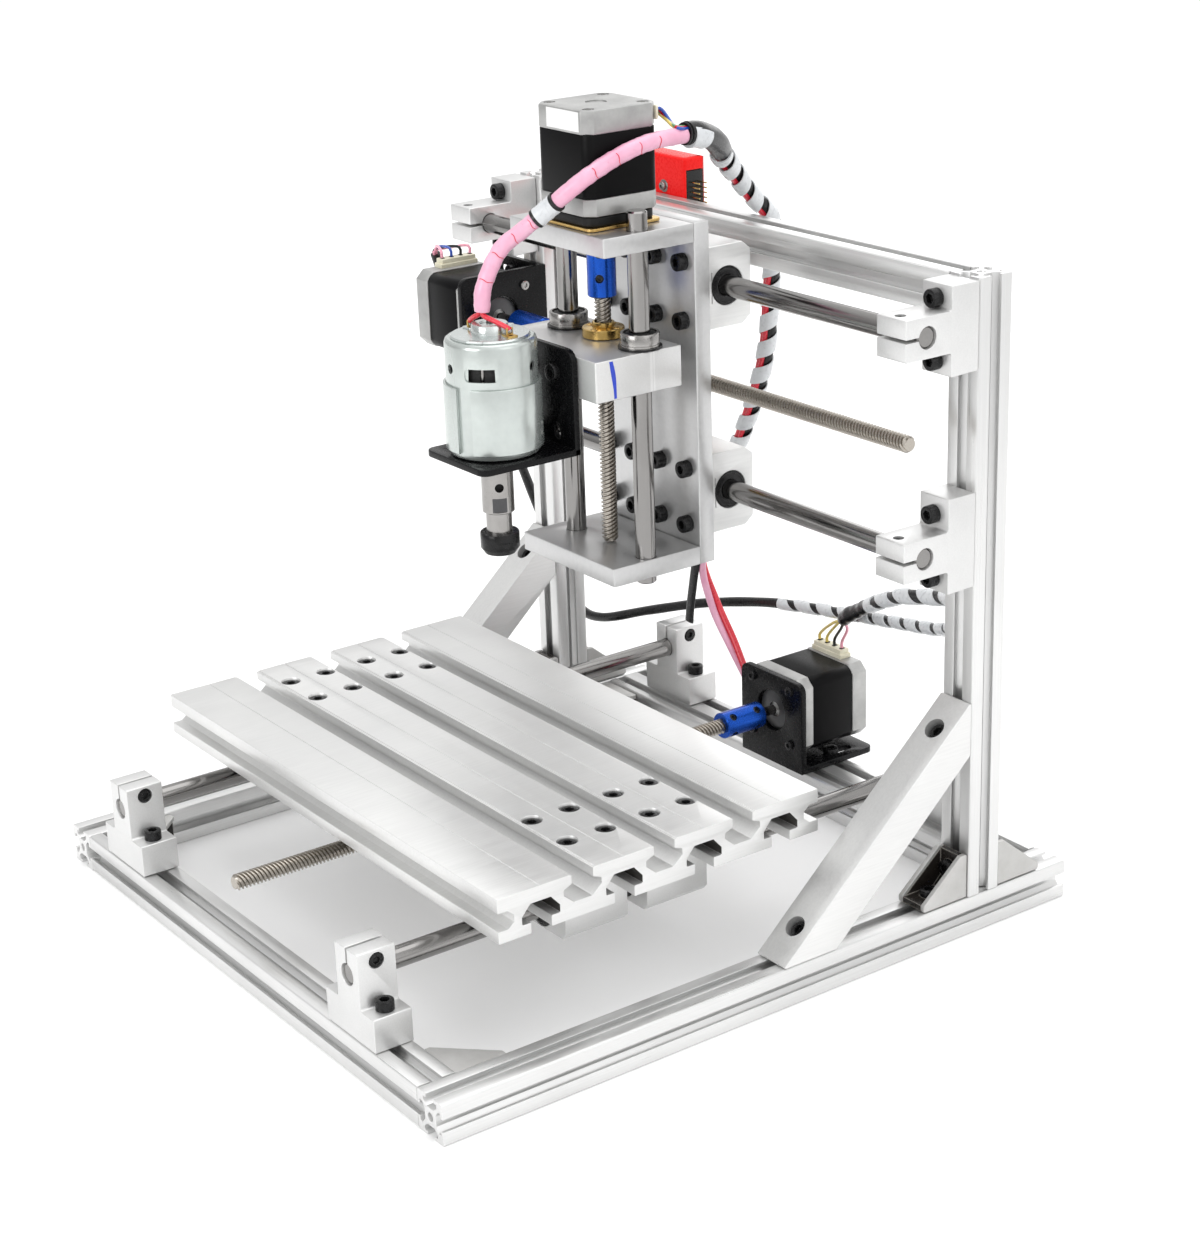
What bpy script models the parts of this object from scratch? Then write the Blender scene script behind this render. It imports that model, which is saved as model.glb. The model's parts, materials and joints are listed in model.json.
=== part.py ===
"""Desktop three-axis router, built as separate pieces. Metres, +Z up, X along the gantry, -Y is the operator's side."""
import math

import bmesh
import bpy
from mathutils import Matrix, Vector

for obj in list(bpy.data.objects):
    bpy.data.objects.remove(obj, do_unlink=True)

MM = 0.001
GAP = 0.3  # clearance between neighbouring pieces

# ---- driving sizes, millimetres, in machine coordinates (x=0 between the side beams, y=0 front, z=0 underside)
B = 20.0  # extrusion side
HALF_W = 180.0
DEPTH = 364.5
REAR_Y = 334.5  # front face of the rear beam
POST_Y = 299.5
POST_TOP = 322.3
ROD_R = 5.0
SCREW_R = 4.0
RODY_X = (-117.0, 106.2)  # y rods
RODY_Z = 50.4
SUP_ROD = 30.4  # rod height over the foot of a support
SUP_H = 43.2
SUP_FOOT_H = 16.3
SUP_FOOT_W = 41.0
SUP_NOSE_W = 19.0
RODX_Y = POST_Y - 30.2
RODX_Z = (199.0, 300.9)
TABLE_X = (-156.0, 149.5)
TABLE_Y = (51.6, 231.2)
TABLE_Z = (65.5, 86.9)
YBLK_Y = (119.6, 165.7)
YSCREW_X = -6.0
YSCREW_Z = 50.3
YBRACKET_Y = 331.0
XSCREW_Z = 250.0
XSCREW_Y = 269.0
XPLATE_X = -157.7  # free face of the x motor bracket
CF_X = (-34.8, 42.1)
CF_Y = (195.7, 247.9, 256.8)  # front of the plates, back plate front and back
CF_Z = (165.3, 174.5, 325.0, 334.2)
ZROD_X = (-22.0, 36.0)
ZROD_Y = 219.3
ZSCREW = (6.3, 219.6)
ZBLK_X = (-39.0, 43.0)
ZBLK_Y = (186.5, 236.5)
ZBLK_Z = (258.7, 278.4)
SPINDLE = (6.2, 155.0)
MOTOR = 42.3

X_SPAN = (-210.3, HALF_W)
Y_SPAN = (0.0, 382.0)
OX = -(X_SPAN[0] + X_SPAN[1]) / 2
OY = -(Y_SPAN[0] + Y_SPAN[1]) / 2

COLOURS = {
    "extrusion": ((0.80, 0.80, 0.79), 1.0, 0.38),
    "milled": ((0.74, 0.74, 0.72), 1.0, 0.35),
    "cast": ((0.62, 0.60, 0.57), 0.6, 0.6),
    "steel": ((0.62, 0.60, 0.58), 1.0, 0.18),
    "black": ((0.015, 0.015, 0.016), 0.0, 0.4),
    "can": ((0.66, 0.70, 0.68), 0.7, 0.35),
    "brass": ((0.75, 0.52, 0.16), 1.0, 0.3),
    "red": ((0.75, 0.02, 0.02), 0.0, 0.35),
    "cable": ((0.72, 0.70, 0.72), 0.0, 0.5),
}


def material(name):
    found = bpy.data.materials.get(name)
    if found:
        return found
    colour, metallic, rough = COLOURS[name]
    made = bpy.data.materials.new(name)
    made.use_nodes = True
    shader = made.node_tree.nodes["Principled BSDF"]
    shader.inputs["Base Color"].default_value = (*colour, 1)
    shader.inputs["Metallic"].default_value = metallic
    shader.inputs["Roughness"].default_value = rough
    return made


PARTS = bpy.data.collections.new("cnc_router")
CUTTERS = bpy.data.collections.new("joined_shapes")
for holder in (PARTS, CUTTERS):
    bpy.context.scene.collection.children.link(holder)


def place(x, y, z):
    return Vector(((x + OX) * MM, (y + OY) * MM, z * MM))


def link(name, data, mat, at, axes=None):
    """The object in the scene: at in machine mm; axes are the world directions of local x, y, z."""
    obj = bpy.data.objects.new(name, data)
    PARTS.objects.link(obj)
    matrix = Matrix.Identity(3)
    if axes:
        matrix = Matrix([Vector(a) for a in axes]).transposed()
    obj.matrix_world = Matrix.Translation(place(*at)) @ matrix.to_4x4()
    obj.data.materials.append(material(mat))
    return obj


XY = ((1, 0, 0), (0, 1, 0), (0, 0, 1))  # outline seen from above, thickness along z
YZ = ((0, 1, 0), (0, 0, 1), (1, 0, 0))  # outline in y,z; thickness along x
XZ = ((-1, 0, 0), (0, 0, 1), (0, 1, 0))  # outline in -x,z; thickness along y
XZM = ((1, 0, 0), (0, 0, 1), (0, -1, 0))  # outline in x,z; thickness along -y


def circle(cx, cy, r, n=24, start=0.0):
    return [
        (cx + r * math.cos(start + 2 * math.pi * i / n), cy + r * math.sin(start + 2 * math.pi * i / n))
        for i in range(n)
    ]


def rect(x0, y0, x1, y1):
    return [(x0, y0), (x1, y0), (x1, y1), (x0, y1)]


def prism(name, outlines, thick, mat, at, axes=XY):
    """A flat piece: outlines in mm (the first is the outside), thickness centred on at."""
    data = bpy.data.curves.new(name, "CURVE")
    data.dimensions = "2D"
    data.fill_mode = "BOTH"
    data.extrude = thick / 2 * MM
    for outline in outlines:
        spline = data.splines.new("POLY")
        spline.points.add(len(outline) - 1)
        for point, (u, v) in zip(spline.points, outline):
            point.co = (u * MM, v * MM, 0, 1)
        spline.use_cyclic_u = True
    return link(name, data, mat, at, axes)


def turned(name, profile, mat, at, axis="z", n=24, bore=None):
    """A turned piece from (radius, height) pairs in mm, bottom to top, along the axis through at; bore is a through hole's radius."""
    low, high = profile[0][1], profile[-1][1]
    inner = bore or 0.0
    outline = [(inner, high), *reversed(profile), (inner, low)]
    bm = bmesh.new()
    verts = [bm.verts.new((r * MM, 0, h * MM)) for r, h in outline]
    for v, w in zip(verts, verts[1:]):
        bm.edges.new((v, w))
    if bore:
        bm.edges.new((verts[-1], verts[0]))
    data = bpy.data.meshes.new(name)
    bm.to_mesh(data)
    bm.free()
    axes = {
        "z": XY,
        "x": ((0, 1, 0), (0, 0, 1), (1, 0, 0)),
        "y": ((0, 0, 1), (1, 0, 0), (0, 1, 0)),
    }[axis]
    obj = link(name, data, mat, at, axes)
    screw = obj.modifiers.new("Screw", "SCREW")
    screw.axis = "Z"
    screw.angle = 2 * math.pi
    screw.steps = screw.render_steps = n
    screw.use_merge_vertices = True
    screw.merge_threshold = 1e-6
    screw.use_smooth_shade = True
    return obj


def chamfered(half, cut, n_edge=2):
    """Points of a square with cut corners, with extra points along the long sides."""
    corners = [
        (half, -half + cut), (half, half - cut), (half - cut, half), (-half + cut, half),
        (-half, half - cut), (-half, -half + cut), (-half + cut, -half), (half - cut, -half),
    ]
    points = []
    for i, a in enumerate(corners):
        b = corners[(i + 1) % 8]
        steps = n_edge if i % 2 == 0 else 1
        for k in range(steps):
            t = k / steps
            points.append((a[0] + (b[0] - a[0]) * t, a[1] + (b[1] - a[1]) * t))
    return points


def lofted(name, rings, mat, at, axes=XY):
    """Rings are (points, height): equal numbers of points, joined one after another, capped at both ends."""
    bm = bmesh.new()
    made = [[bm.verts.new((u * MM, v * MM, h * MM)) for u, v in points] for points, h in rings]
    n = len(made[0])
    for lower, upper in zip(made, made[1:]):
        for i in range(n):
            j = (i + 1) % n
            bm.faces.new((lower[i], lower[j], upper[j], upper[i]))
    bm.faces.new(list(reversed(made[0])))
    bm.faces.new(made[-1])
    bmesh.ops.recalc_face_normals(bm, faces=bm.faces)
    data = bpy.data.meshes.new(name)
    bm.to_mesh(data)
    bm.free()
    return link(name, data, mat, at, axes)


def block(name, x, y, z, mat):
    """A plain box between (low, high) pairs."""
    at = ((x[0] + x[1]) / 2, (y[0] + y[1]) / 2, (z[0] + z[1]) / 2)
    size = Vector((x[1] - x[0], y[1] - y[0], z[1] - z[0])) * MM
    bm = bmesh.new()
    bmesh.ops.create_cube(bm, size=1.0, matrix=Matrix.Diagonal((*size, 1)))
    data = bpy.data.meshes.new(name)
    bm.to_mesh(data)
    bm.free()
    return link(name, data, mat, at)


# ---- aluminium extrusions -------------------------------------------------
def t_slot_profile(width=B, height=B, side_slots=1):
    """Outline of the extrusion section: one slot on each end face, and as many as asked on top and underside."""
    h, w = height / 2, width / 2
    centres = [0.0] if side_slots == 1 else [-7.5, 7.5]
    o, i, lip, inner, deep = 3.0, 5.2, 1.8, 3.6, 5.6

    def slot(cx):
        return [(cx + o, 0), (cx + o, lip), (cx + i, lip), (cx + i, inner), (cx + 2.6, deep),
                (cx - 2.6, deep), (cx - i, inner), (cx - i, lip), (cx - o, lip), (cx - o, 0)]

    points = [(w, h)]
    for cx in sorted(centres, reverse=True):
        points += [(u, h - d) for u, d in slot(cx)]
    points.append((-w, h))
    points += [(-w + d, u) for u, d in slot(0)]
    points.append((-w, -h))
    for cx in sorted(centres):
        points += [(2 * cx - u, -h + d) for u, d in slot(cx)]
    points.append((w, -h))
    points += [(w - d, -u) for u, d in slot(0)]
    return points


BORE = circle(0, 0, 2.1, 10)
for side, sign in (("right", 1), ("left", -1)):
    prism("side_beam_" + side, [t_slot_profile(), BORE], DEPTH, "extrusion", (sign * (HALF_W - B / 2), DEPTH / 2, B / 2), XZ)
    prism("post_" + side, [t_slot_profile(), BORE], POST_TOP - B - GAP, "extrusion",
          (sign * (HALF_W - B / 2), POST_Y + B / 2, (POST_TOP + B + GAP) / 2), XY)
INNER = 2 * (HALF_W - B - GAP)
prism("front_beam", [t_slot_profile(), BORE], INNER, "extrusion", (0, B / 2, B / 2), YZ)
prism("rear_beam", [t_slot_profile(30, 20, 2), circle(-7.5, 0, 1.6, 8), circle(7.5, 0, 1.6, 8)], INNER, "extrusion", (0, REAR_Y + 15, B / 2), YZ)
prism("top_beam", [t_slot_profile(), BORE], INNER, "extrusion", (0, POST_Y + B / 2, POST_TOP - B / 2), YZ)

# ---- diagonal braces, in the plane of each side -----------------------------
BRACE = [(184.5, B + GAP), (216.5, B + GAP), (POST_Y - GAP, 94.5), (POST_Y - GAP, 121.5)]
for side, sign in (("right", 1), ("left", -1)):
    prism("brace_" + side, [BRACE], B, "milled", (sign * (HALF_W - B / 2), 0, 0), YZ)

# ---- die-cast corner brackets ---------------------------------------------
def bracket_profile(long, tall):
    """Side view of a corner bracket, corner at the origin, legs along +u and +v."""
    return [(0.0, 0.0), (long, 0.0), (long, 4.2), (5.2, tall), (0.0, tall)]


def corner(name, axes, at):
    prism(name, [bracket_profile(27.5, 22.5)], 18.0, "cast", at, axes)


for side, sign in (("right", 1), ("left", -1)):
    x = sign * (HALF_W - B / 2)
    corner("post_bracket_front_" + side, ((0, -1, 0), (0, 0, 1), (-1, 0, 0)), (x, POST_Y - GAP, B + GAP))
    corner("post_bracket_rear_" + side, ((0, 1, 0), (0, 0, 1), (1, 0, 0)), (x, POST_Y + B + GAP, B + GAP))

# ---- clamping rod supports ------------------------------------------------
def support_outline(up_extra=0.0):
    """Inverted T with a split nose: foot on v=0, rod hole at SUP_ROD."""
    f, n, top, s = SUP_FOOT_W / 2, SUP_NOSE_W / 2, SUP_H, 0.8
    r = ROD_R + GAP
    a0 = math.asin(s / r)
    hole = []
    count = 20
    for k in range(count + 1):
        a = math.pi / 2 - a0 - (2 * math.pi - 2 * a0) * k / count
        hole.append((r * math.cos(a), SUP_ROD + r * math.sin(a)))
    return (
        [(-f, 0), (f + up_extra, 0), (f + up_extra, SUP_FOOT_H), (n, SUP_FOOT_H), (n, top), (s, top)]
        + hole
        + [(-s, top), (-n, top), (-n, SUP_FOOT_H), (-f, SUP_FOOT_H)]
    )


for k, side in enumerate(("left", "right")):
    x = RODY_X[k]
    prism("y_rod_support_front_" + side, [support_outline()], B - 0.6, "milled", (x, B / 2, B + GAP - 0.3 + GAP), XZM)
    prism("y_rod_support_rear_" + side, [support_outline()], B - 0.6, "milled", (x, DEPTH - B / 2, B + GAP - 0.3 + GAP), XZM)
    turned("y_rod_" + side, [(4.4, 0), (ROD_R, 0.7), (ROD_R, DEPTH - 3.5), (4.4, DEPTH - 2.8)], "steel", (x, 1.4, RODY_Z + 0.3), "y")

X_SUP = {"left": -173.6, "right": HALF_W - 9.6}
SUP_AXES_X = ((0, 0, 1), (0, -1, 0), (1, 0, 0))  # foot on the post, nose towards -y
for k, level in enumerate(("lower", "upper")):
    z = RODX_Z[k]
    for side in ("left", "right"):
        extra = 4.4 if level == "lower" else 0.0
        prism("x_rod_support_%s_%s" % (level, side), [support_outline(extra)], 19.0, "milled",
              (X_SUP[side], POST_Y - GAP, z), SUP_AXES_X)
    turned("x_rod_" + level, [(4.4, 0), (ROD_R, 0.7), (ROD_R, 360.6), (4.4, 361.3)], "steel", (-182.6, POST_Y - GAP - SUP_ROD, z), "x")

# ---- stepper motors -------------------------------------------------------
def stepper(name, at, axes, length, damper=0.0):
    """Square motor with its pilot boss on the output side (local +z), flange face at the origin.
    With a damper, a rubber ring of that thickness stands on the flange face."""
    flange, body = chamfered(MOTOR / 2, 4.6), chamfered(MOTOR / 2 - 0.5, 6.6)
    angle = [math.atan2(v, u) for u, v in flange]
    boss = [(11.0 * math.cos(a), 11.0 * math.sin(a)) for a in angle]
    rings = [
        (flange, -length), (flange, -length + 10.5), (body, -length + 10.5), (body, -8.2), (flange, -8.2), (flange, 0),
        (boss, 0), (boss, 1.6),
    ]
    if damper:
        pad = [(16.0 * math.cos(a), 16.0 * math.sin(a)) for a in angle]
        rings[-2:] = [(pad, 0), (pad, 0.8), (flange, 0.8), (flange, damper), (boss, damper), (boss, damper + 1.6)]
    return lofted(name, rings, "black", at, axes)


stepper("y_motor", (YSCREW_X, YBRACKET_Y + 3.5 + GAP, YSCREW_Z), ((1, 0, 0), (0, 0, 1), (0, -1, 0)), 45.9)
stepper("x_motor", (XPLATE_X - 3.5 - GAP, XSCREW_Y, XSCREW_Z), ((0, 1, 0), (0, 0, 1), (1, 0, 0)), -X_SPAN[0] + XPLATE_X - 3.5 - GAP)
DAMPER_TOP = CF_Z[3] + GAP + 6.6
stepper("z_motor", (ZSCREW[0], ZSCREW[1], DAMPER_TOP), ((1, 0, 0), (0, -1, 0), (0, 0, -1)), 48.9, DAMPER_TOP - CF_Z[3] - GAP)

# ---- folded sheet brackets of the y and x motors ------------------------------
def to_mesh(obj):
    """The curve's evaluated mesh as a mesh object with the same name and place."""
    bpy.context.view_layer.update()
    graph = bpy.context.evaluated_depsgraph_get()
    data = bpy.data.meshes.new_from_object(obj.evaluated_get(graph))
    bm = bmesh.new()
    bm.from_mesh(data)
    bmesh.ops.remove_doubles(bm, verts=bm.verts, dist=1e-7)
    bmesh.ops.recalc_face_normals(bm, faces=bm.faces)
    bm.to_mesh(data)
    bm.free()
    matrix, name = obj.matrix_world.copy(), obj.name
    bpy.data.objects.remove(obj, do_unlink=True)
    made = bpy.data.objects.new(name, data)
    PARTS.objects.link(made)
    made.matrix_world = matrix
    return made


def combine(base, others, operation):
    for other in others:
        for holder in list(other.users_collection):
            holder.objects.unlink(other)
        CUTTERS.objects.link(other)
        other.hide_render = True
        other.display_type = "WIRE"
        modifier = base.modifiers.new(other.name, "BOOLEAN")
        modifier.solver = "EXACT"
        modifier.operation = operation
        modifier.object = other
    return base


def folded_bracket(name, plate_at, axes, foot_x, foot_y, foot_z, tall, half, bore, thick=3.5, bore_r=11.6):
    """A plate with a round bore joined to a foot box; both in machine mm."""
    plate = to_mesh(prism(name, [[(-half, 0), (half, 0), (half, tall - 4), (half - 4, tall), (-half + 4, tall), (-half, tall - 4)],
                                 circle(0, bore, bore_r, 24)], thick, "black", plate_at, axes))
    foot = block(name + "_foot", foot_x, foot_y, foot_z, "black")
    return combine(plate, [foot], "UNION")


FOOT_Z = (B + GAP, B + GAP + 3.2)
folded_bracket("y_motor_bracket", (YSCREW_X, YBRACKET_Y + 1.75, B + GAP), ((1, 0, 0), (0, 0, 1), (0, -1, 0)),
               (YSCREW_X - 25.2, YSCREW_X + 25.2), (YBRACKET_Y + 1.0, Y_SPAN[1]), FOOT_Z, 51.0, 25.2, YSCREW_Z - B - GAP)
# the x bracket stands on the post's front face, its foot towards -x
folded_bracket("x_motor_bracket", (XPLATE_X - 1.75, POST_Y - GAP, XSCREW_Z), ((0, 0, 1), (0, -1, 0), (1, 0, 0)),
               (XPLATE_X - 52.0, XPLATE_X - 1.0), (POST_Y - GAP - 3.2, POST_Y - GAP), (XSCREW_Z - 24.6, XSCREW_Z + 24.6),
               55.5, 24.6, POST_Y - GAP - XSCREW_Y)

# ---- control box on the back of the top beam ---------------------------------
CB_X, CB_Y, CB_Z = (-128.0, -58.5), (POST_Y + B + GAP, POST_Y + B + 13.0), (284.0, 342.3)
box = prism("control_box", [[(CB_X[0], CB_Y[0]), (CB_X[1], CB_Y[0]), (CB_X[1], CB_Y[1]), (CB_X[1] + 3.5, CB_Y[1]),
                             (CB_X[1] + 3.5, CB_Y[1] + 1.8), (CB_X[0], CB_Y[1] + 1.8)]],
            CB_Z[1] - CB_Z[0], "red", (0, 0, (CB_Z[0] + CB_Z[1]) / 2))

# ---- moving table ---------------------------------------------------------
def table_outline():
    """Section in y,z of the slotted table plate."""
    y0, y1, z0, z1 = TABLE_Y[0], TABLE_Y[1], TABLE_Z[0], TABLE_Z[1]
    pitch = (y1 - y0) / 4
    points = [(y0, z1)]
    # front slot is met last; walk the top from front to back
    for k in (1, 2, 3):
        c = y0 + k * pitch
        points += [(c - 5.8, z1), (c - 5.8, z1 - 4.7), (c - 10.2, z1 - 6.3), (c - 10.2, z1 - 9.2), (c - 5.0, z1 - 13.6),
                   (c + 5.0, z1 - 13.6), (c + 10.2, z1 - 9.2), (c + 10.2, z1 - 6.3), (c + 5.8, z1 - 4.7), (c + 5.8, z1)]
    points.append((y1, z1))
    points += [(y1, z1 - 6.8), (y1 - 5.0, z1 - 6.8), (y1 - 8.5, z1 - 9.5), (y1 - 8.5, z1 - 13.0), (y1 - 5.0, z1 - 15.6), (y1, z1 - 15.6)]
    points.append((y1, z0))
    for k in (3, 2, 1, 0):
        c = y0 + (k + 0.5) * pitch
        points += [(c + 5.4, z0), (c + 5.4, z0 + 5.2), (c + 10.0, z0 + 5.2), (c + 10.0, z0 + 9.0), (c + 5.4, z1 - 7.2),
                   (c - 5.4, z1 - 7.2), (c - 10.0, z0 + 9.0), (c - 10.0, z0 + 5.2), (c - 5.4, z0 + 5.2), (c - 5.4, z0)]
    points.append((y0, z0))
    points += [(y0, z1 - 15.6), (y0 + 5.0, z1 - 15.6), (y0 + 8.5, z1 - 13.0), (y0 + 8.5, z1 - 9.5), (y0 + 5.0, z1 - 6.8), (y0, z1 - 6.8)]
    return points


prism("table", [table_outline()], TABLE_X[1] - TABLE_X[0], "milled", ((TABLE_X[0] + TABLE_X[1]) / 2, 0, 0), YZ)
YBLK_Z = (40.6, TABLE_Z[0] - GAP)
for k, side in enumerate(("left", "right")):
    x = RODY_X[k]
    for j, end in enumerate(("front", "rear")):
        z0, z1 = YBLK_Z[0] - RODY_Z - 0.3, YBLK_Z[1] - RODY_Z - 0.3
        out = [(-20, z0 + 3), (-17, z0), (17, z0), (20, z0 + 3), (20, z1 - 1), (19, z1), (-19, z1), (-20, z1 - 1)]
        prism("table_bearing_block_%s_%s" % (end, side), [out, circle(0, 0, ROD_R + GAP, 20)], 35.0, "milled",
              (x, YBLK_Y[j], RODY_Z + 0.3), XZM)
z1 = TABLE_Z[0] - GAP - YSCREW_Z
prism("y_nut", [[(-15, -12), (15, -12), (15, z1), (-15, z1)], circle(0, 0, SCREW_R + GAP, 16)], 26.0, "brass",
      (YSCREW_X, (YBLK_Y[0] + YBLK_Y[1]) / 2, YSCREW_Z), XZM)

# ---- lead screws with their couplings and motor shafts ------------------------
def lead_screw(name, at, axis, length, coupling, shaft, flip=False):
    """Local z from the free end to the motor: screw, clamping coupling, motor shaft."""
    profile = [(SCREW_R - 0.8, 0), (SCREW_R, 0.8), (SCREW_R, length), (6.5, length), (7.0, length + 0.6),
               (7.0, length + coupling - 0.6), (6.5, length + coupling), (2.5, length + coupling), (2.5, length + coupling + shaft)]
    if flip:
        top = profile[-1][1]
        profile = [(r, top - h) for r, h in reversed(profile)]
    turned(name, profile, "steel", at, axis, 20)


lead_screw("y_lead_screw", (YSCREW_X, 5.0, YSCREW_Z), "y", 291.5, 26.0, YBRACKET_Y + 2.2 - GAP - 322.5)
X_FREE, X_COUP = 169.0, -116.0
X_SHAFT = (X_COUP - 26.0) - (XPLATE_X - 2.2 + GAP)
lead_screw("x_lead_screw", (XPLATE_X - 2.2 + GAP, XSCREW_Y, XSCREW_Z), "x", X_FREE - X_COUP, 26.0, X_SHAFT, flip=True)
lead_screw("z_lead_screw", (ZSCREW[0], ZSCREW[1], 175.4), "z", 298.2 - 175.4, 27.0, CF_Z[3] + GAP - 1.6 - GAP - 325.2)

# ---- x carriage -----------------------------------------------------------
cx, cz = (CF_X[0] + CF_X[1]) / 2, (CF_Z[0] + CF_Z[3]) / 2
block("z_back_plate", CF_X, (CF_Y[1], CF_Y[2]), (CF_Z[0], CF_Z[3]), "milled")
plate = rect(CF_X[0], CF_Y[0], CF_X[1], CF_Y[1] - GAP)
rod_holes = [circle(x, ZROD_Y, ROD_R + GAP, 20) for x in ZROD_X]
prism("z_top_plate", [plate, *rod_holes, circle(ZSCREW[0], ZSCREW[1], 11.8, 24)], CF_Z[3] - CF_Z[2], "milled", (0, 0, (CF_Z[2] + CF_Z[3]) / 2))
prism("z_bottom_plate", [plate, *rod_holes], CF_Z[1] - CF_Z[0], "milled", (0, 0, (CF_Z[0] + CF_Z[1]) / 2))
XBLK_Y = (CF_Y[2] + GAP, 283.0)
for k, level in enumerate(("lower", "upper")):
    z, yc = RODX_Z[k], POST_Y - GAP - SUP_ROD
    y0, y1 = XBLK_Y[0] - yc, XBLK_Y[1] - yc
    out = [(y0, -19), (y0 + 1, -20), (y1 - 5, -20), (y1, -16), (y1, 16), (y1 - 5, 20), (y0 + 1, 20), (y0, 19)]
    for tag, x in (("left", -18.8), ("right", 22.9)):
        prism("x_bearing_block_%s_%s" % (level, tag), [out, circle(0, 0, ROD_R + GAP, 20)], 35.0, "milled", (x, yc, z), YZ)
prism("x_nut", [rect(XBLK_Y[0] - XSCREW_Y, -15, 12, 15), circle(0, 0, SCREW_R + GAP, 16)], 17.2, "brass", (5.2, XSCREW_Y, XSCREW_Z), YZ)
for k, side in enumerate(("left", "right")):
    turned("z_rod_" + side, [(4.4, 0), (ROD_R, 0.7), (ROD_R, 181.3), (4.4, 182.0)], "steel", (ZROD_X[k], ZROD_Y, 161.5), "z")

# ---- z carriage -----------------------------------------------------------
zc = (ZBLK_Z[0] + ZBLK_Z[1]) / 2
bear_holes = [circle(x, ZROD_Y, ROD_R + GAP, 20) for x in ZROD_X]
z_block = to_mesh(prism("z_carriage_block", [rect(ZBLK_X[0], ZBLK_Y[0], ZBLK_X[1], ZBLK_Y[1]), *bear_holes, circle(ZSCREW[0], ZSCREW[1], 5.6, 16)],
                        ZBLK_Z[1] - ZBLK_Z[0], "milled", (0, 0, zc)))
rings = []
for k, side in enumerate(("left", "right")):
    rings.append(to_mesh(prism("bearing_ring_" + side, [circle(ZROD_X[k], ZROD_Y, 9.5, 24), circle(ZROD_X[k], ZROD_Y, ROD_R + GAP, 20)],
                               9.0, "steel", (0, 0, ZBLK_Z[1] + 3.5))))
combine(z_block, rings, "UNION")
# flanged brass nut: flange on top of the block, barrel in its bore
turned("z_nut", [(5.2, -12.0), (5.2, 0.0), (10.2, 0.0), (10.2, 4.6), (5.4, 4.6), (5.4, 7.2)], "brass", (*ZSCREW, ZBLK_Z[1] + GAP), bore=SCREW_R + GAP)

SB_X = (-19.0, 31.5)
SB_Z = (231.2, 234.4, 282.0)
SB_Y = (131.0, 183.2, ZBLK_Y[0] - GAP)
bed = to_mesh(prism("spindle_bracket", [[(SB_X[0], SB_Y[0] + 5), (SB_X[0] + 5, SB_Y[0]), (SB_X[1] - 5, SB_Y[0]), (SB_X[1], SB_Y[0] + 5),
                                        (SB_X[1], SB_Y[2]), (SB_X[0], SB_Y[2])], circle(*SPINDLE, 8.6, 20)],
                    SB_Z[1] - SB_Z[0], "black", (0, 0, (SB_Z[0] + SB_Z[1]) / 2)))
back = block("spindle_bracket_back", SB_X, (SB_Y[1], SB_Y[2]), (SB_Z[0] + 0.5, SB_Z[2]), "black")
combine(bed, [back], "UNION")
SP_Z = SB_Z[1] + GAP
turned("spindle_motor", [(22.4, 0), (23.2, 1.2), (23.2, 35.4), (21.7, 35.4), (21.7, 55.0), (20.0, 56.8), (9.2, 56.8), (9.0, 61.0), (4.0, 62.8)],
       "can", (*SPINDLE, SP_Z), "z", 28)
# chuck on the motor shaft: sleeve, neck and clamping nut
turned("collet_chuck", [(1.7, 14.0), (1.7, 0), (5.0, 0), (7.6, 1.2), (9.5, 4.2), (9.5, 11.5), (6.3, 12.3), (6.3, 21.6), (7.7, 21.6), (7.7, 48.6), (5.0, 48.6), (5.0, 51.2)],
       "steel", (*SPINDLE, 183.0), "z", 24)


# ---- loose cables ----------------------------------------------------------
def smooth(points, spacing):
    """Points along a smooth curve through the given ones, about spacing mm apart."""
    pts = [Vector(p) for p in points]
    ext = [2 * pts[0] - pts[1], *pts, 2 * pts[-1] - pts[-2]]
    dense = []
    for i in range(1, len(ext) - 2):
        p0, p1, p2, p3 = ext[i - 1 : i + 3]
        for k in range(20):
            t = k / 20
            dense.append(
                0.5 * ((2 * p1) + (p2 - p0) * t + (2 * p0 - 5 * p1 + 4 * p2 - p3) * t * t + (-p0 + 3 * p1 - 3 * p2 + p3) * t ** 3)
            )
    dense.append(pts[-1])
    total = sum((b - a).length for a, b in zip(dense, dense[1:]))
    count = max(4, round(total / spacing))
    out, walked, target, step = [dense[0]], 0.0, total / count, total / count
    for a, b in zip(dense, dense[1:]):
        seg = (b - a).length
        while walked + seg >= target - 1e-9 and len(out) < count:
            out.append(a.lerp(b, (target - walked) / seg))
            target += step
        walked += seg
    out.append(dense[-1])
    return out


def tube(name, points, radius, spacing):
    data = bpy.data.curves.new(name, "CURVE")
    data.dimensions = "3D"
    data.bevel_depth = radius * MM
    data.bevel_resolution = 2
    data.use_fill_caps = True
    line = smooth(points, spacing)
    spline = data.splines.new("POLY")
    spline.points.add(len(line) - 1)
    for point, p in zip(spline.points, line):
        point.co = ((p.x + OX) * MM, (p.y + OY) * MM, p.z * MM, 1)
    obj = bpy.data.objects.new(name, data)
    PARTS.objects.link(obj)
    data.materials.append(material("cable"))
    return obj


# spindle cable: up from the spindle motor, over the corner of the z motor, to the tie beside it
TIE = Vector((32.0, 251.0, 373.6))
TIE_DIR = Vector((-0.16, 0.97, -0.12)).normalized()
tube("spindle_cable", [(4.0, 152.6, 301.2), (4.2, 154.2, 313.0), (5.0, 163.2, 328.3), (8.0, 174.5, 336.6), (15.0, 182.6, 345.0), (23.5, 187.6, 353.0),
                       (30.8, 196.0, 361.5), (33.4, 212.0, 369.0), (33.6, 230.0, 373.2), TIE], 4.0, 8.5)
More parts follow.
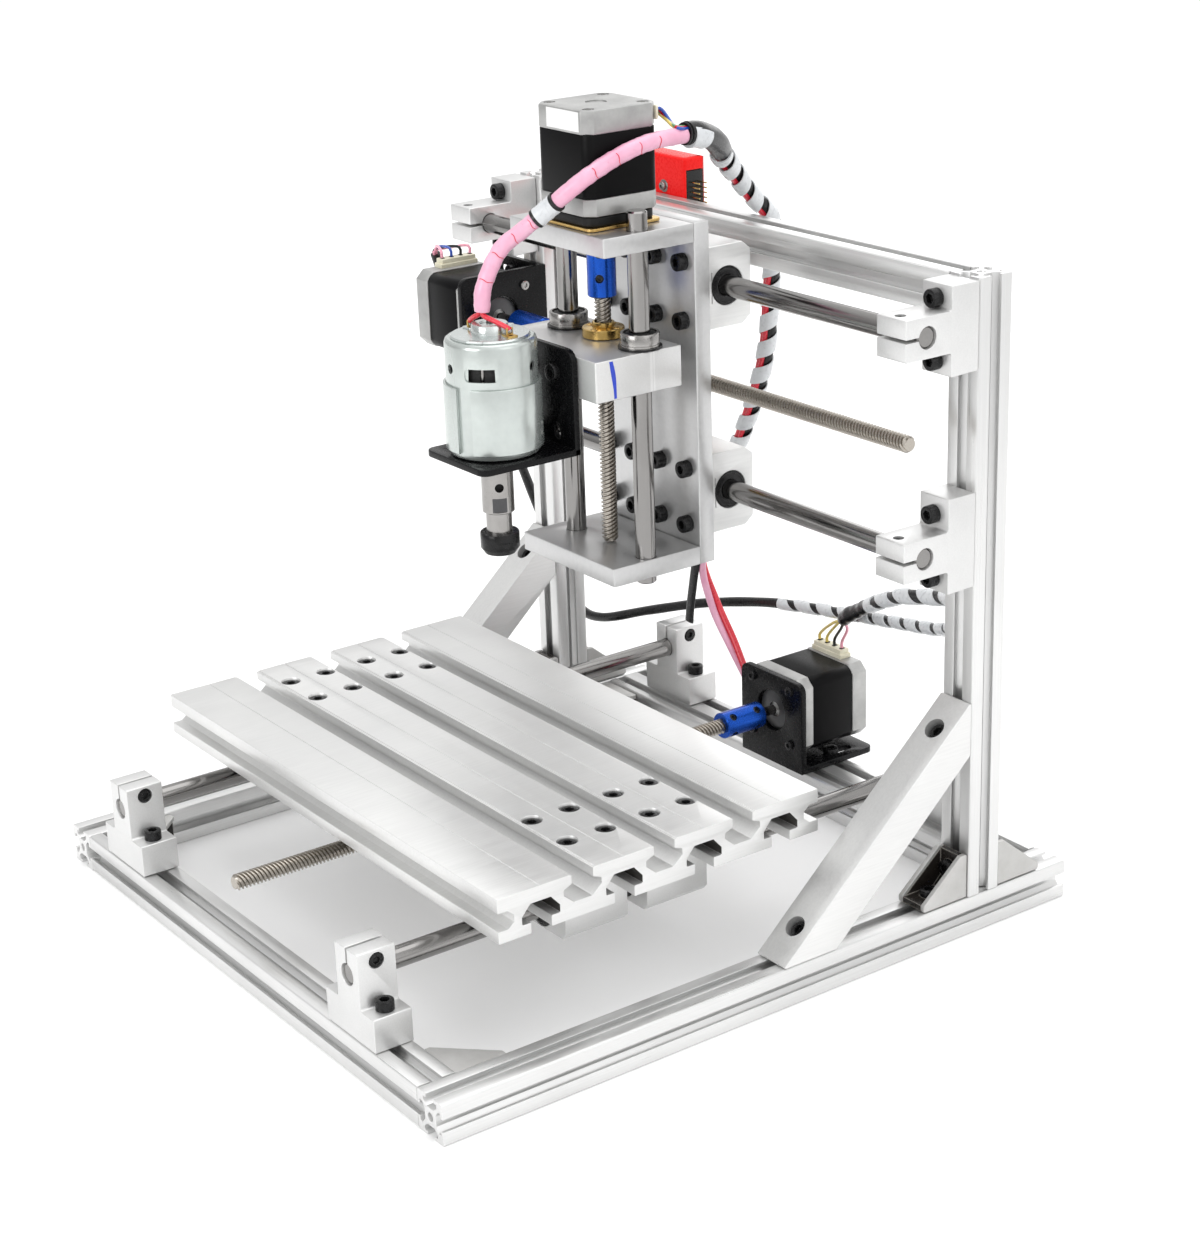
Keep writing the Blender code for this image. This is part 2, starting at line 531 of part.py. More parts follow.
# carriage cable: from the tie over the top beam, down behind it and on to the rear beam
tube("carriage_cable", [TIE + TIE_DIR * 1.4, TIE + TIE_DIR * 10.0, (22.0, 276.0, 366.0), (7.0, 295.0, 353.5), (-1.0, 316.0, 333.5), (-1.0, 330.5, 318.0),
                        (-6.0, 336.0, 300.0), (-10.0, 336.5, 280.0), (-12.0, 336.0, 253.0), (-17.5, 334.0, 228.0), (-32.0, 333.0, 196.0), (-58.0, 336.0, 158.0), (-77.0, 341.0, 118.0),
                        (-72.0, 345.0, 90.0), (-58.0, 347.0, 68.0), (-45.0, 348.0, 48.0), (-40.0, 349.0, 32.0), (-39.5, 349.5, B + 11), (-39.5, 349.5, B + 0.5)], 4.2, 11.0)
# y motor cable and x motor cable: both to the clip on the back of the right post
CLIP_X, CLIP_Y, CLIP_Z = (HALF_W - B + 1, HALF_W - 12.5), (POST_Y + B + GAP, POST_Y + B + 12.1), (141.0, 166.0)
block("cable_clip", CLIP_X, CLIP_Y, CLIP_Z, "black")
tube("y_motor_cable", [(-3.0, 374.0, 82.0), (1.0, 373.0, 87.0), (15.0, 365.5, 101.0), (30.7, 362.0, 110.5), (43.0, 358.0, 117.6), (65.0, 352.0, 128.5), (81.0, 348.0, 135.3), (113.0, 343.0, 144.5),
                       (137.0, 331.0, 154.5), (CLIP_X[0] - 10, 327.0, 159.0), (CLIP_X[0] - 0.5, 327.0, 159.0)], 3.6, 9.0)
tube("x_motor_cable", [(-213.5, 262.0, 281.5), (-218.0, 264.5, 283.0), (-222.5, 269.0, 275.0), (-222.5, 276.0, 255.0), (-219.0, 288.0, 220.0), (-216.0, 306.0, 170.0), (-214.0, 327.0, 110.0),
                       (-211.0, 337.0, 74.0), (-198.0, 341.0, 54.0), (-176.0, 342.0, 53.0), (-140.0, 350.0, 65.5), (-100.0, 360.0, 78.7), (-62.0, 370.0, 87.3), (-34.0, 374.5, 91.6),
                       (8.0, 374.5, 98.5), (58.0, 364.0, 110.5), (107.0, 349.0, 124.5), (137.0, 331.0, 141.5), (CLIP_X[0] - 10, 327.0, 147.5), (CLIP_X[0] - 0.5, 327.0, 147.5)], 2.9, 10.0)
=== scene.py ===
"""Looks of a desktop three-axis router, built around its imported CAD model. Metres, +Z up."""
import json
import math

import bmesh
import bpy
from mathutils import Matrix, Vector, noise

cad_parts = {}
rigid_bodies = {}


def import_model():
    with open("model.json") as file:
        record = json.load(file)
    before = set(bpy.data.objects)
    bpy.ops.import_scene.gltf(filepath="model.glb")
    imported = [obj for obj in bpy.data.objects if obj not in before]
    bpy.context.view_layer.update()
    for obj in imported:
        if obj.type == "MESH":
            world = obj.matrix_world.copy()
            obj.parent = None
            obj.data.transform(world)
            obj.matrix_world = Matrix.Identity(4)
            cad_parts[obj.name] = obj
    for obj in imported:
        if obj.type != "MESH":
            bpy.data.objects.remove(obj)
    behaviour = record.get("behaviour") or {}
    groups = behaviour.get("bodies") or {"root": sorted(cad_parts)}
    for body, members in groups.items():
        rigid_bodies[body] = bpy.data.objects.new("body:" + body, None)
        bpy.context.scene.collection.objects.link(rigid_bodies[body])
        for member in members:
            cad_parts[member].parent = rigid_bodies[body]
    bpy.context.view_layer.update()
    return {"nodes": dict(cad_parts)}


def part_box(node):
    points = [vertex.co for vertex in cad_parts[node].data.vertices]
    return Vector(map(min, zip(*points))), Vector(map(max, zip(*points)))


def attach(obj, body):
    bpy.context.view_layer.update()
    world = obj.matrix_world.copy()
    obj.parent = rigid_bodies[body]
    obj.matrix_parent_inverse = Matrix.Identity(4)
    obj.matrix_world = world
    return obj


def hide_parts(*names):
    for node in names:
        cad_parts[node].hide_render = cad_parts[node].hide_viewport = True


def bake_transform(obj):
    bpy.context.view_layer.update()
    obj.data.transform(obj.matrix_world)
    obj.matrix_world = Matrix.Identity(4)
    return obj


for obj in list(bpy.data.objects):
    bpy.data.objects.remove(obj, do_unlink=True)

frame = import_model()
MM = 0.001

# machine coordinates in mm: x=0 between the side beams, y=0 their front ends, z=0 the floor
_low, _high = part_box("side_beam_left")[0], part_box("side_beam_right")[1]
OX, OY = (_low[0] + _high[0]) / 2, _low[1]


def P(x, y, z):
    return Vector((OX + x * MM, OY + y * MM, z * MM))


def node_box(name):
    """A node's (low, high) in machine mm."""
    low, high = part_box(name)
    return [((c[0] - OX) / MM, (c[1] - OY) / MM, c[2] / MM) for c in (low, high)]


def centre(name):
    low, high = node_box(name)
    return [(a + b) / 2 for a, b in zip(low, high)]


# ---------------------------------------------------------------- materials
MATERIALS = {}


def principled(name):
    made = bpy.data.materials.new(name)
    made.use_nodes = True
    return made, made.node_tree, made.node_tree.nodes["Principled BSDF"]


def node(tree, kind, **values):
    made = tree.nodes.new(kind)
    for key, value in values.items():
        setattr(made, key, value)
    return made


def noise_node(tree, scale, stretch=(1, 1, 1), detail=3.0, rough=0.55):
    coord = node(tree, "ShaderNodeTexCoord")
    mapping = node(tree, "ShaderNodeMapping")
    mapping.inputs["Scale"].default_value = stretch
    tex = node(tree, "ShaderNodeTexNoise")
    tex.inputs["Scale"].default_value = scale
    tex.inputs["Detail"].default_value = detail
    tex.inputs["Roughness"].default_value = rough
    tree.links.new(coord.outputs["Object"], mapping.inputs["Vector"])
    tree.links.new(mapping.outputs["Vector"], tex.inputs["Vector"])
    return tex


def ranged(tree, source, low, high, from_low=0.3, from_high=0.7):
    made = node(tree, "ShaderNodeMapRange")
    made.inputs["From Min"].default_value = from_low
    made.inputs["From Max"].default_value = from_high
    made.inputs["To Min"].default_value = low
    made.inputs["To Max"].default_value = high
    tree.links.new(source, made.inputs["Value"])
    return made.outputs["Result"]


def mixed(tree, factor, a, b):
    made = node(tree, "ShaderNodeMix", data_type="RGBA")
    made.inputs["A"].default_value = (*a, 1)
    made.inputs["B"].default_value = (*b, 1)
    tree.links.new(factor, made.inputs["Factor"])
    return made.outputs["Result"]


def surface(name, colour, dark=None, metallic=0.0, rough=(0.3, 0.4), grain=900.0, stretch=(1, 1, 1), bump=0.02, bump_mm=0.05,
            cloud=35.0, coat=0.0, wear=None, wear_mm=0.35, ior=None):
    """A finished material: cloudy tone, grain in roughness and bump, and edges that wear towards another tone."""
    if name in MATERIALS:
        return MATERIALS[name]
    made, tree, shader = principled(name)
    dark = dark or tuple(c * 0.9 for c in colour)
    clouds = noise_node(tree, cloud, detail=4.0)
    fine = noise_node(tree, grain, stretch, detail=3.0)
    tone = mixed(tree, ranged(tree, clouds.outputs["Fac"], 0, 1), dark, colour)
    streak = node(tree, "ShaderNodeMix", data_type="RGBA", blend_type="MULTIPLY")
    streak.inputs["Factor"].default_value = 1.0
    tree.links.new(tone, streak.inputs["A"])
    grey = ranged(tree, fine.outputs["Fac"], 0.93, 1.0)
    tree.links.new(grey, streak.inputs["B"])
    result = streak.outputs["Result"]
    if wear:
        bevel = node(tree, "ShaderNodeBevel", samples=4)
        bevel.inputs["Radius"].default_value = wear_mm * MM
        geometry = node(tree, "ShaderNodeNewGeometry")
        dot = node(tree, "ShaderNodeVectorMath", operation="DOT_PRODUCT")
        tree.links.new(bevel.outputs["Normal"], dot.inputs[0])
        tree.links.new(geometry.outputs["Normal"], dot.inputs[1])
        edge = ranged(tree, dot.outputs["Value"], 1.0, 0.0, 0.80, 0.995)
        patchy = node(tree, "ShaderNodeMath", operation="MULTIPLY")
        tree.links.new(edge, patchy.inputs[0])
        tree.links.new(ranged(tree, clouds.outputs["Fac"], 0.25, 1.0), patchy.inputs[1])
        worn = node(tree, "ShaderNodeMix", data_type="RGBA")
        worn.inputs["B"].default_value = (*wear, 1)
        tree.links.new(patchy.outputs["Value"], worn.inputs["Factor"])
        tree.links.new(result, worn.inputs["A"])
        result = worn.outputs["Result"]
    tree.links.new(result, shader.inputs["Base Color"])
    shader.inputs["Metallic"].default_value = metallic
    tree.links.new(ranged(tree, fine.outputs["Fac"], *rough), shader.inputs["Roughness"])
    if coat:
        shader.inputs["Coat Weight"].default_value = coat
        shader.inputs["Coat Roughness"].default_value = 0.12
    if ior:
        shader.inputs["IOR"].default_value = ior
    lift = node(tree, "ShaderNodeBump")
    lift.inputs["Strength"].default_value = bump
    lift.inputs["Distance"].default_value = bump_mm * MM
    tree.links.new(fine.outputs["Fac"], lift.inputs["Height"])
    tree.links.new(lift.outputs["Normal"], shader.inputs["Normal"])
    MATERIALS[name] = made
    return made


LONG = (1, 1, 0.006)  # grain drawn out along local z
EXTRUSION = surface("anodised_extrusion", (0.76, 0.76, 0.755), (0.68, 0.68, 0.675), 0.80, (0.27, 0.40), 1400, LONG, 0.08, 0.05, 10, wear=(0.86, 0.86, 0.86))
# near-black for the faces inside the table's channels: painted shade
CHANNEL_PAINTED_SHADE = surface("table_channel_painted_shade", (0.07, 0.066, 0.06), (0.035, 0.033, 0.03), 0.2, (0.45, 0.6), 900, (0.05, 1, 1), 0.06, 0.05, 8)
TABLE_AL = surface("table_aluminium", (0.78, 0.78, 0.77), (0.70, 0.70, 0.695), 0.70, (0.32, 0.46), 900, (0.05, 1, 1), 0.06, 0.05, 8, wear=(0.86, 0.86, 0.86))
MILLED = surface("machined_aluminium", (0.74, 0.74, 0.735), (0.66, 0.66, 0.655), 0.75, (0.32, 0.44), 1400, (1, 1, 1), 0.08, 0.05, 18, wear=(0.86, 0.86, 0.86))
PLATE = surface("brushed_plate", (0.62, 0.62, 0.62), (0.56, 0.56, 0.56), 0.80, (0.28, 0.38), 420, (1, 1, 1), 0.02, 0.04, 9, wear=(0.80, 0.80, 0.80))
CAST = surface("cast_bracket", (0.60, 0.595, 0.585), (0.46, 0.455, 0.44), 0.6, (0.42, 0.6), 700, (1, 1, 1), 0.3, 0.12, 40, wear=(0.80, 0.80, 0.79))
# near-black stand-in for the shade inside the brackets: painted shade, with lighter edges
CAST_PAINTED_SHADE = surface("cast_bracket_painted_shade", (0.030, 0.026, 0.022), (0.012, 0.010, 0.009), 0.0, (0.16, 0.3), 500, (1, 1, 1), 0.5, 0.12, 60, wear=(0.55, 0.52, 0.47), wear_mm=0.9, ior=1.4)
DIECAST = surface("motor_end_cap", (0.51, 0.51, 0.50), (0.34, 0.34, 0.335), 0.70, (0.34, 0.50), 900, (1, 1, 1), 0.18, 0.06, 50, wear=(0.80, 0.80, 0.79))
# dark grey for the motor pilot ring and the chuck's flat, darker than the die-cast cap and the steel sleeve: painted
# shade
PILOT_PAINTED_SHADE = surface("motor_pilot_painted_shade", (0.11, 0.11, 0.115), (0.06, 0.06, 0.062), 0.6, (0.3, 0.46), 900, (1, 1, 1), 0.1, 0.05, 50, wear=(0.30, 0.30, 0.30))
ROD = surface("ground_rod", (0.30, 0.292, 0.285), (0.24, 0.234, 0.228), 1.0, (0.12, 0.2), 1200, (1, 1, 0.05), 0.02, 0.03, 20)
THREAD = surface("rolled_thread", (0.46, 0.425, 0.38), (0.40, 0.37, 0.33), 1.0, (0.26, 0.32), 1200, (1, 1, 1), 0.0, 0.03, 30)
BRIGHT = surface("bright_steel", (0.38, 0.37, 0.36), (0.29, 0.28, 0.27), 1.0, (0.16, 0.28), 1200, (1, 1, 1), 0.04, 0.03, 60, wear=(0.66, 0.65, 0.64), wear_mm=0.2)
BLACK_SHEET = surface("black_powder_coat", (0.005, 0.005, 0.0055), (0.003, 0.003, 0.0035), 0.0, (0.2, 0.32), 700, (1, 1, 1), 0.12, 0.06, 30, wear=(0.05, 0.05, 0.05), ior=1.25)
BLACK_BODY = surface("black_laminated_steel", (0.006, 0.0058, 0.006), (0.004, 0.004, 0.0045), 0.0, (0.28, 0.42), 1500, (1, 1, 1), 0.15, 0.06, 20, wear=(0.03, 0.03, 0.03), ior=1.16)
BLACK_OXIDE = surface("black_oxide_screw", (0.012, 0.012, 0.013), (0.006, 0.006, 0.006), 0.3, (0.2, 0.32), 1500, (1, 1, 1), 0.06, 0.03, 200, wear=(0.14, 0.14, 0.14), wear_mm=0.2, ior=1.4)
RUBBER = surface("black_rubber", (0.008, 0.008, 0.008), (0.005, 0.005, 0.005), 0.0, (0.42, 0.58), 1200, (1, 1, 1), 0.15, 0.05, 60, ior=1.35)
GOLD = surface("gold_zinc_plate", (0.74, 0.52, 0.20), (0.56, 0.36, 0.12), 1.0, (0.24, 0.38), 1100, (1, 1, 1), 0.06, 0.04, 90, wear=(0.85, 0.68, 0.38))
BRASS = surface("turned_brass", (0.66, 0.45, 0.16), (0.50, 0.33, 0.10), 1.0, (0.16, 0.28), 1200, (1, 1, 1), 0.05, 0.03, 90, wear=(0.85, 0.66, 0.34))
BLUE = surface("blue_anodised", (0.006, 0.085, 0.50), (0.004, 0.06, 0.38), 0.75, (0.18, 0.3), 1600, (1, 1, 1), 0.05, 0.03, 70, wear=(0.12, 0.25, 0.65))
CAN = surface("zinc_plated_can", (0.55, 0.59, 0.57), (0.525, 0.565, 0.545), 0.72, (0.22, 0.25), 260, (1, 1, 1), 0.0, 0.03, 6)
CAN_TOP = surface("drawn_can", (0.62, 0.655, 0.645), (0.56, 0.60, 0.59), 0.85, (0.2, 0.28), 300, (1, 1, 1), 0.0, 0.03, 30, wear=(0.80, 0.82, 0.81))
RED = surface("red_case", (0.86, 0.014, 0.012), (0.80, 0.010, 0.010), 0.0, (0.24, 0.32), 700, (1, 1, 1), 0.01, 0.05, 30, wear=(0.93, 0.12, 0.09), ior=1.25)
PINK = surface("pink_sleeve", (0.80, 0.44, 0.58), (0.74, 0.34, 0.48), 0.0, (0.26, 0.38), 240, (1, 1, 1), 0.12, 0.12, 70, coat=0.3)
WHITE_WRAP = surface("white_spiral_wrap", (0.70, 0.715, 0.73), (0.58, 0.60, 0.62), 0.0, (0.24, 0.36), 500, (1, 1, 1), 0.08, 0.06, 80, coat=0.3, wear=(0.82, 0.82, 0.82))
BLACK_CABLE = surface("black_cable", (0.009, 0.009, 0.0095), (0.005, 0.005, 0.0055), 0.0, (0.24, 0.36), 700, (1, 1, 1), 0.1, 0.05, 50, coat=0.1, ior=1.4)
RED_WIRE = surface("red_wire", (0.72, 0.02, 0.045), (0.60, 0.012, 0.03), 0.0, (0.24, 0.34), 900, (1, 1, 1), 0.06, 0.04, 60, coat=0.3)
PINK_WIRE = surface("pink_wire", (0.90, 0.42, 0.52), (0.84, 0.30, 0.42), 0.0, (0.26, 0.36), 900, (1, 1, 1), 0.06, 0.04, 60, coat=0.3)
BLUE_WIRE = surface("blue_wire", (0.02, 0.09, 0.50), (0.015, 0.06, 0.36), 0.0, (0.24, 0.34), 900, (1, 1, 1), 0.06, 0.04, 60, coat=0.3)
YELLOW_WIRE = surface("yellow_wire", (0.78, 0.62, 0.16), (0.68, 0.50, 0.10), 0.0, (0.26, 0.36), 900, (1, 1, 1), 0.06, 0.04, 60, coat=0.2)
GREEN_WIRE = surface("green_wire", (0.20, 0.38, 0.20), (0.12, 0.28, 0.14), 0.0, (0.26, 0.36), 900, (1, 1, 1), 0.06, 0.04, 60, coat=0.2)
CREAM = surface("cream_connector", (0.78, 0.75, 0.60), (0.68, 0.64, 0.48), 0.0, (0.34, 0.46), 700, (1, 1, 1), 0.08, 0.04, 90, wear=(0.88, 0.86, 0.76))
LABEL = surface("blank_label", (0.84, 0.84, 0.83), (0.79, 0.79, 0.785), 0.0, (0.36, 0.44), 1500, (1, 1, 1), 0.05, 0.02, 70)
GREEN_BOARD = surface("circuit_board", (0.52, 0.02, 0.02), (0.40, 0.012, 0.012), 0.0, (0.28, 0.4), 900, (1, 1, 1), 0.06, 0.04, 60, coat=0.2)
INK = surface("blue_ink", (0.02, 0.06, 0.55), (0.02, 0.05, 0.45), 0.0, (0.4, 0.5), 900, (1, 1, 1), 0.05, 0.02, 200)
# near-black for holes and hollows: painted shade
HOLLOW_PAINTED_SHADE = surface("hollow_painted_shade", (0.01, 0.01, 0.01), (0.006, 0.006, 0.006), 0.0, (0.6, 0.8), 900, (1, 1, 1), 0.1, 0.04, 60)

# ---------------------------------------------------------------- shape helpers
X_UP = ((0, 1, 0), (0, 0, 1), (1, 0, 0))  # local z along +x
Y_UP = ((0, 0, 1), (1, 0, 0), (0, 1, 0))  # local z along +y
Z_UP = ((1, 0, 0), (0, 1, 0), (0, 0, 1))
XZ_FRONT = ((1, 0, 0), (0, 0, 1), (0, -1, 0))  # local x along x, y along z, facing -y
AXES = {"x": X_UP, "y": Y_UP, "z": Z_UP}
PIECES = []


def circle(cx, cy, r, n=32, start=0.0):
    return [(cx + r * math.cos(start + 2 * math.pi * i / n), cy + r * math.sin(start + 2 * math.pi * i / n)) for i in range(n)]


def rounded(points, radius, steps=4, only=None):
    """The closed outline with its corners rounded; radius is one number or a dict of corner number to radius."""
    out, n = [], len(points)
    for i, p in enumerate(points):
        r = radius.get(i, 0) if isinstance(radius, dict) else radius
        a, b, c = Vector(points[i - 1]), Vector(p), Vector(points[(i + 1) % n])
        d0, d1 = (a - b), (c - b)
        l0, l1 = d0.length, d1.length
        if not r or l0 < 1e-6 or l1 < 1e-6:
            out.append(tuple(b))
            continue
        d0.normalize(), d1.normalize()
        angle = math.acos(max(-1, min(1, d0.dot(d1))))
        if angle > math.radians(176) or angle < math.radians(4):
            out.append(tuple(b))
            continue
        cut = min(r / math.tan(angle / 2), l0 * 0.48, l1 * 0.48)
        r = cut * math.tan(angle / 2)
        middle = b + (d0 + d1).normalized() * (r / math.sin(angle / 2))
        s, e = b + d0 * cut, b + d1 * cut
        a0 = math.atan2(*(s - middle).yx)
        a1 = math.atan2(*(e - middle).yx)
        turn = (a1 - a0 + math.pi) % (2 * math.pi) - math.pi
        for k in range(steps + 1):
            t = a0 + turn * k / steps
            out.append((middle.x + r * math.cos(t), middle.y + r * math.sin(t)))
    return out


def rect(x0, y0, x1, y1):
    return [(x0, y0), (x1, y0), (x1, y1), (x0, y1)]


def matrix_at(at, axes):
    rotation = Matrix([Vector(a) for a in axes]).transposed()
    return Matrix.Translation(P(*at)) @ rotation.to_4x4()


def finish_mesh(obj, body, mat, angle=30, replace=None):
    if obj.type == "MESH":
        obj.data.shade_smooth()
        obj.data.set_sharp_from_angle(angle=math.radians(angle))
    faces = [p.material_index for p in obj.data.polygons]
    obj.data.materials.clear()
    for m in (mat if isinstance(mat, (list, tuple)) else [mat]):
        obj.data.materials.append(m)
    if isinstance(mat, (list, tuple)):
        obj.data.polygons.foreach_set("material_index", faces)
    if body:
        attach(obj, body)
    if replace:
        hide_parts(*([replace] if isinstance(replace, str) else replace))
    PIECES.append(obj)
    return obj


def add(name, data, matrix=None):
    obj = bpy.data.objects.new(name, data)
    bpy.context.scene.collection.objects.link(obj)
    if matrix is not None:
        obj.matrix_world = matrix
    return obj


def prism(name, outlines, thick, at, axes, mat, body, bevel=0.3, replace=None, angle=30, steps=2):
    """A flat piece with rounded rims; the first outline is the outside, the rest holes. Centred on at."""
    curve = bpy.data.curves.new(name, "CURVE")
    curve.dimensions = "2D"
    curve.fill_mode = "BOTH"
    curve.bevel_depth = bevel * MM
    curve.bevel_resolution = steps
    curve.offset = -bevel * MM
    curve.extrude = (thick / 2 - bevel) * MM
    for outline in outlines:
        spline = curve.splines.new("POLY")
        spline.points.add(len(outline) - 1)
        for point, (u, v) in zip(spline.points, outline):
            point.co = (u * MM, v * MM, 0, 1)
        spline.use_cyclic_u = True
    temp = add(name + "_curve", curve)
    bpy.context.view_layer.update()
    data = bpy.data.meshes.new_from_object(temp.evaluated_get(bpy.context.evaluated_depsgraph_get()))
    bpy.data.objects.remove(temp, do_unlink=True)
    bm = bmesh.new()
    bm.from_mesh(data)
    bmesh.ops.remove_doubles(bm, verts=bm.verts, dist=2e-6)
    bmesh.ops.recalc_face_normals(bm, faces=bm.faces)
    bm.to_mesh(data)
    bm.free()
    data.name = name
    obj = add(name, data, matrix_at(at, axes))
    return finish_mesh(obj, body, mat, angle, replace) if body else obj


def box(name, x, y, z, mat, body, bevel=0.4, replace=None):
    """A block with all its edges rounded, between (low, high) pairs in machine mm."""
    bm = bmesh.new()
    size = [(b - a) * MM for a, b in (x, y, z)]
    bmesh.ops.create_cube(bm, size=1.0, matrix=Matrix.Diagonal((*size, 1)))
    if bevel:
        bmesh.ops.bevel(bm, geom=bm.edges[:], offset=min(bevel, min(size) / MM * 0.45) * MM, segments=2, profile=0.5, affect="EDGES")
    data = bpy.data.meshes.new(name)
    bm.to_mesh(data)
    bm.free()
    at = [(a + b) / 2 for a, b in (x, y, z)]
    obj = add(name, data, matrix_at(at, Z_UP))
    return finish_mesh(obj, body, mat, 50, replace) if body else obj


def loft(name, rings, at, axes, mat, body, replace=None, caps=(True, True), angle=35):
    """Rings are (points, height), equal in number of points, skinned one after another."""
    bm = bmesh.new()
    made = [[bm.verts.new((u * MM, v * MM, h * MM)) for u, v in points] for points, h in rings]
    n = len(made[0])
    for lower, upper in zip(made, made[1:]):
        for i in range(n):
            j = (i + 1) % n
            bm.faces.new((lower[i], lower[j], upper[j], upper[i]))
    if caps[0]:
        bm.faces.new(list(reversed(made[0])))
    if caps[1]:
        bm.faces.new(made[-1])
    bmesh.ops.recalc_face_normals(bm, faces=bm.faces)
    data = bpy.data.meshes.new(name)
    bm.to_mesh(data)
    bm.free()
    obj = add(name, data, matrix_at(at, axes))
    return finish_mesh(obj, body, mat, angle, replace) if body else obj


def lathe(name, profile, at, axis, mat, body, n=40, replace=None, angle=32):
    """A turned piece from (radius, height) pairs; a first or last radius above 0 is capped flat unless the ends meet."""
    axes = AXES[axis] if isinstance(axis, str) else axis
    closed = profile[0] == profile[-1]
    rings = [([(r * math.cos(2 * math.pi * i / n), r * math.sin(2 * math.pi * i / n)) for i in range(n)], h) for r, h in profile]
    return loft(name, rings, at, axes, mat, body, replace, (not closed, not closed), angle)


def hexagon(r, n=24):
    """n points on a hexagon of corner radius r, in step with a circle's."""
    out = []
    for i in range(n):
        a = 2 * math.pi * i / n
        k = (a % (math.pi / 3)) - math.pi / 6
        d = r * math.cos(math.pi / 6) / math.cos(k)
        out.append((d * math.cos(a), d * math.sin(a)))
    return out


def axes_to(direction, spin=0.0):
    """Local axes with z along the direction."""
    z = Vector(direction).normalized()
    x = z.orthogonal().normalized()
    x = Matrix.Rotation(spin, 3, z) @ x
    return (tuple(x), tuple(z.cross(x)), tuple(z))


def joined(name, objects, body, mat=None):
    """Several made objects as one piece, each keeping its material."""
    bm = bmesh.new()
    mats = []
    for obj in objects:
        data = obj.data
        offset = []
        for m in data.materials:
            if m not in mats:
                mats.append(m)
            offset.append(mats.index(m))
        start = len(bm.faces)
        bm.from_mesh(data)
        bm.faces.ensure_lookup_table()
        bm.verts.ensure_lookup_table()
        for face in bm.faces[start:]:
            face.material_index = offset[face.material_index] if offset else 0
        seen = {v for face in bm.faces[start:] for v in face.verts}
        bmesh.ops.transform(bm, matrix=obj.matrix_world, verts=list(seen))
    data = bpy.data.meshes.new(name)
    bm.to_mesh(data)
    bm.free()
    for obj in objects:
        if obj in PIECES:
            PIECES.remove(obj)
        bpy.data.objects.remove(obj, do_unlink=True)
    made = add(name, data)
    return finish_mesh(made, body, mats or mat, 35)


def screw_head(at, direction, r=4.2, h=4.6, key=2.3, mat=None, spin=0.3, sink=0.0):
    """One socket head as an unlinked-to-body object: chamfered rim, hexagon socket."""
    n = 24
    rings = [
        (circle(0, 0, r * 0.96, n), -sink), (circle(0, 0, r, n), 0.15 - sink), (circle(0, 0, r, n), h - 0.55 - sink),
        (circle(0, 0, r - 0.2, n), h - 0.15 - sink), (circle(0, 0, r - 0.6, n), h - sink),
        (hexagon(key * 1.06, n), h - sink), (hexagon(key, n), h - 0.25 - sink), (hexagon(key, n), h - h * 0.55 - sink), (circle(0, 0, 0.4, n), h - h * 0.62 - sink),
    ]
    obj = loft("screw", rings, at, axes_to(direction, spin), mat, None)
    obj.data.materials.append(mat or BLACK_OXIDE)
    return obj


def washer(at, direction, r=5.2, hole=2.6, h=0.8, mat=None):
    rings = [(circle(0, 0, hole, 24), 0), (circle(0, 0, r, 24), 0), (circle(0, 0, r, 24), h * 0.75), (circle(0, 0, r - 0.25, 24), h), (circle(0, 0, hole, 24), h), (circle(0, 0, hole, 24), 0)]
    obj = loft("washer", rings, at, axes_to(direction), mat, None, caps=(False, False))
    obj.data.materials.append(mat or BRIGHT)
    return obj


def dressed(obj, mat):
    obj.data.materials.clear()
    obj.data.materials.append(mat)
    return obj


def cut(obj, cutters):
    """Takes the cutters out of obj for good."""
    for i, cutter in enumerate(cutters):
        modifier = obj.modifiers.new("cut%d" % i, "BOOLEAN")
        modifier.solver = "EXACT"
        modifier.operation = "DIFFERENCE"
        modifier.object = cutter
    bpy.context.view_layer.update()
    data = bpy.data.meshes.new_from_object(obj.evaluated_get(bpy.context.evaluated_depsgraph_get()))
    obj.modifiers.clear()
    obj.data = data
    for cutter in cutters:
        bpy.data.objects.remove(cutter, do_unlink=True)
    return obj


def plug(at, direction, profile, n=24):
    """A turned cutter along the direction."""
    rings = [([(r * math.cos(2 * math.pi * i / n), r * math.sin(2 * math.pi * i / n)) for i in range(n)], h) for r, h in profile]
    return loft("cutter", rings, at, axes_to(direction), None, None)


# ---------------------------------------------------------------- tubes and wires
def smooth(points, spacing):
    """Points along a smooth curve through the given ones, about spacing mm apart."""
    pts = [Vector(p) for p in points]
    ext = [2 * pts[0] - pts[1], *pts, 2 * pts[-1] - pts[-2]]
    dense = []
    for i in range(1, len(ext) - 2):
        p0, p1, p2, p3 = ext[i - 1 : i + 3]
        for k in range(20):
            t = k / 20
            dense.append(0.5 * ((2 * p1) + (p2 - p0) * t + (2 * p0 - 5 * p1 + 4 * p2 - p3) * t * t + (-p0 + 3 * p1 - 3 * p2 + p3) * t**3))
    dense.append(pts[-1])
    total = sum((b - a).length for a, b in zip(dense, dense[1:]))
    count = max(4, round(total / spacing))
    out, walked, step = [dense[0]], 0.0, total / count
    target = step
    for a, b in zip(dense, dense[1:]):
        seg = (b - a).length
        while walked + seg >= target - 1e-9 and len(out) < count:
            out.append(a.lerp(b, (target - walked) / seg))
            target += step
        walked += seg
    out.append(dense[-1])
    return out


def frames(line):
    """Rotation-minimising (tangent, normal, binormal) at each point of the line."""
    tangents = []
    for i in range(len(line)):
        a, b = line[max(0, i - 1)], line[min(len(line) - 1, i + 1)]
        tangents.append((b - a).normalized())
    normal = tangents[0].orthogonal().normalized()
    out = []
    for t in tangents:
        normal = (normal - t * normal.dot(t)).normalized()
        out.append((t, normal, t.cross(normal)))
    return out


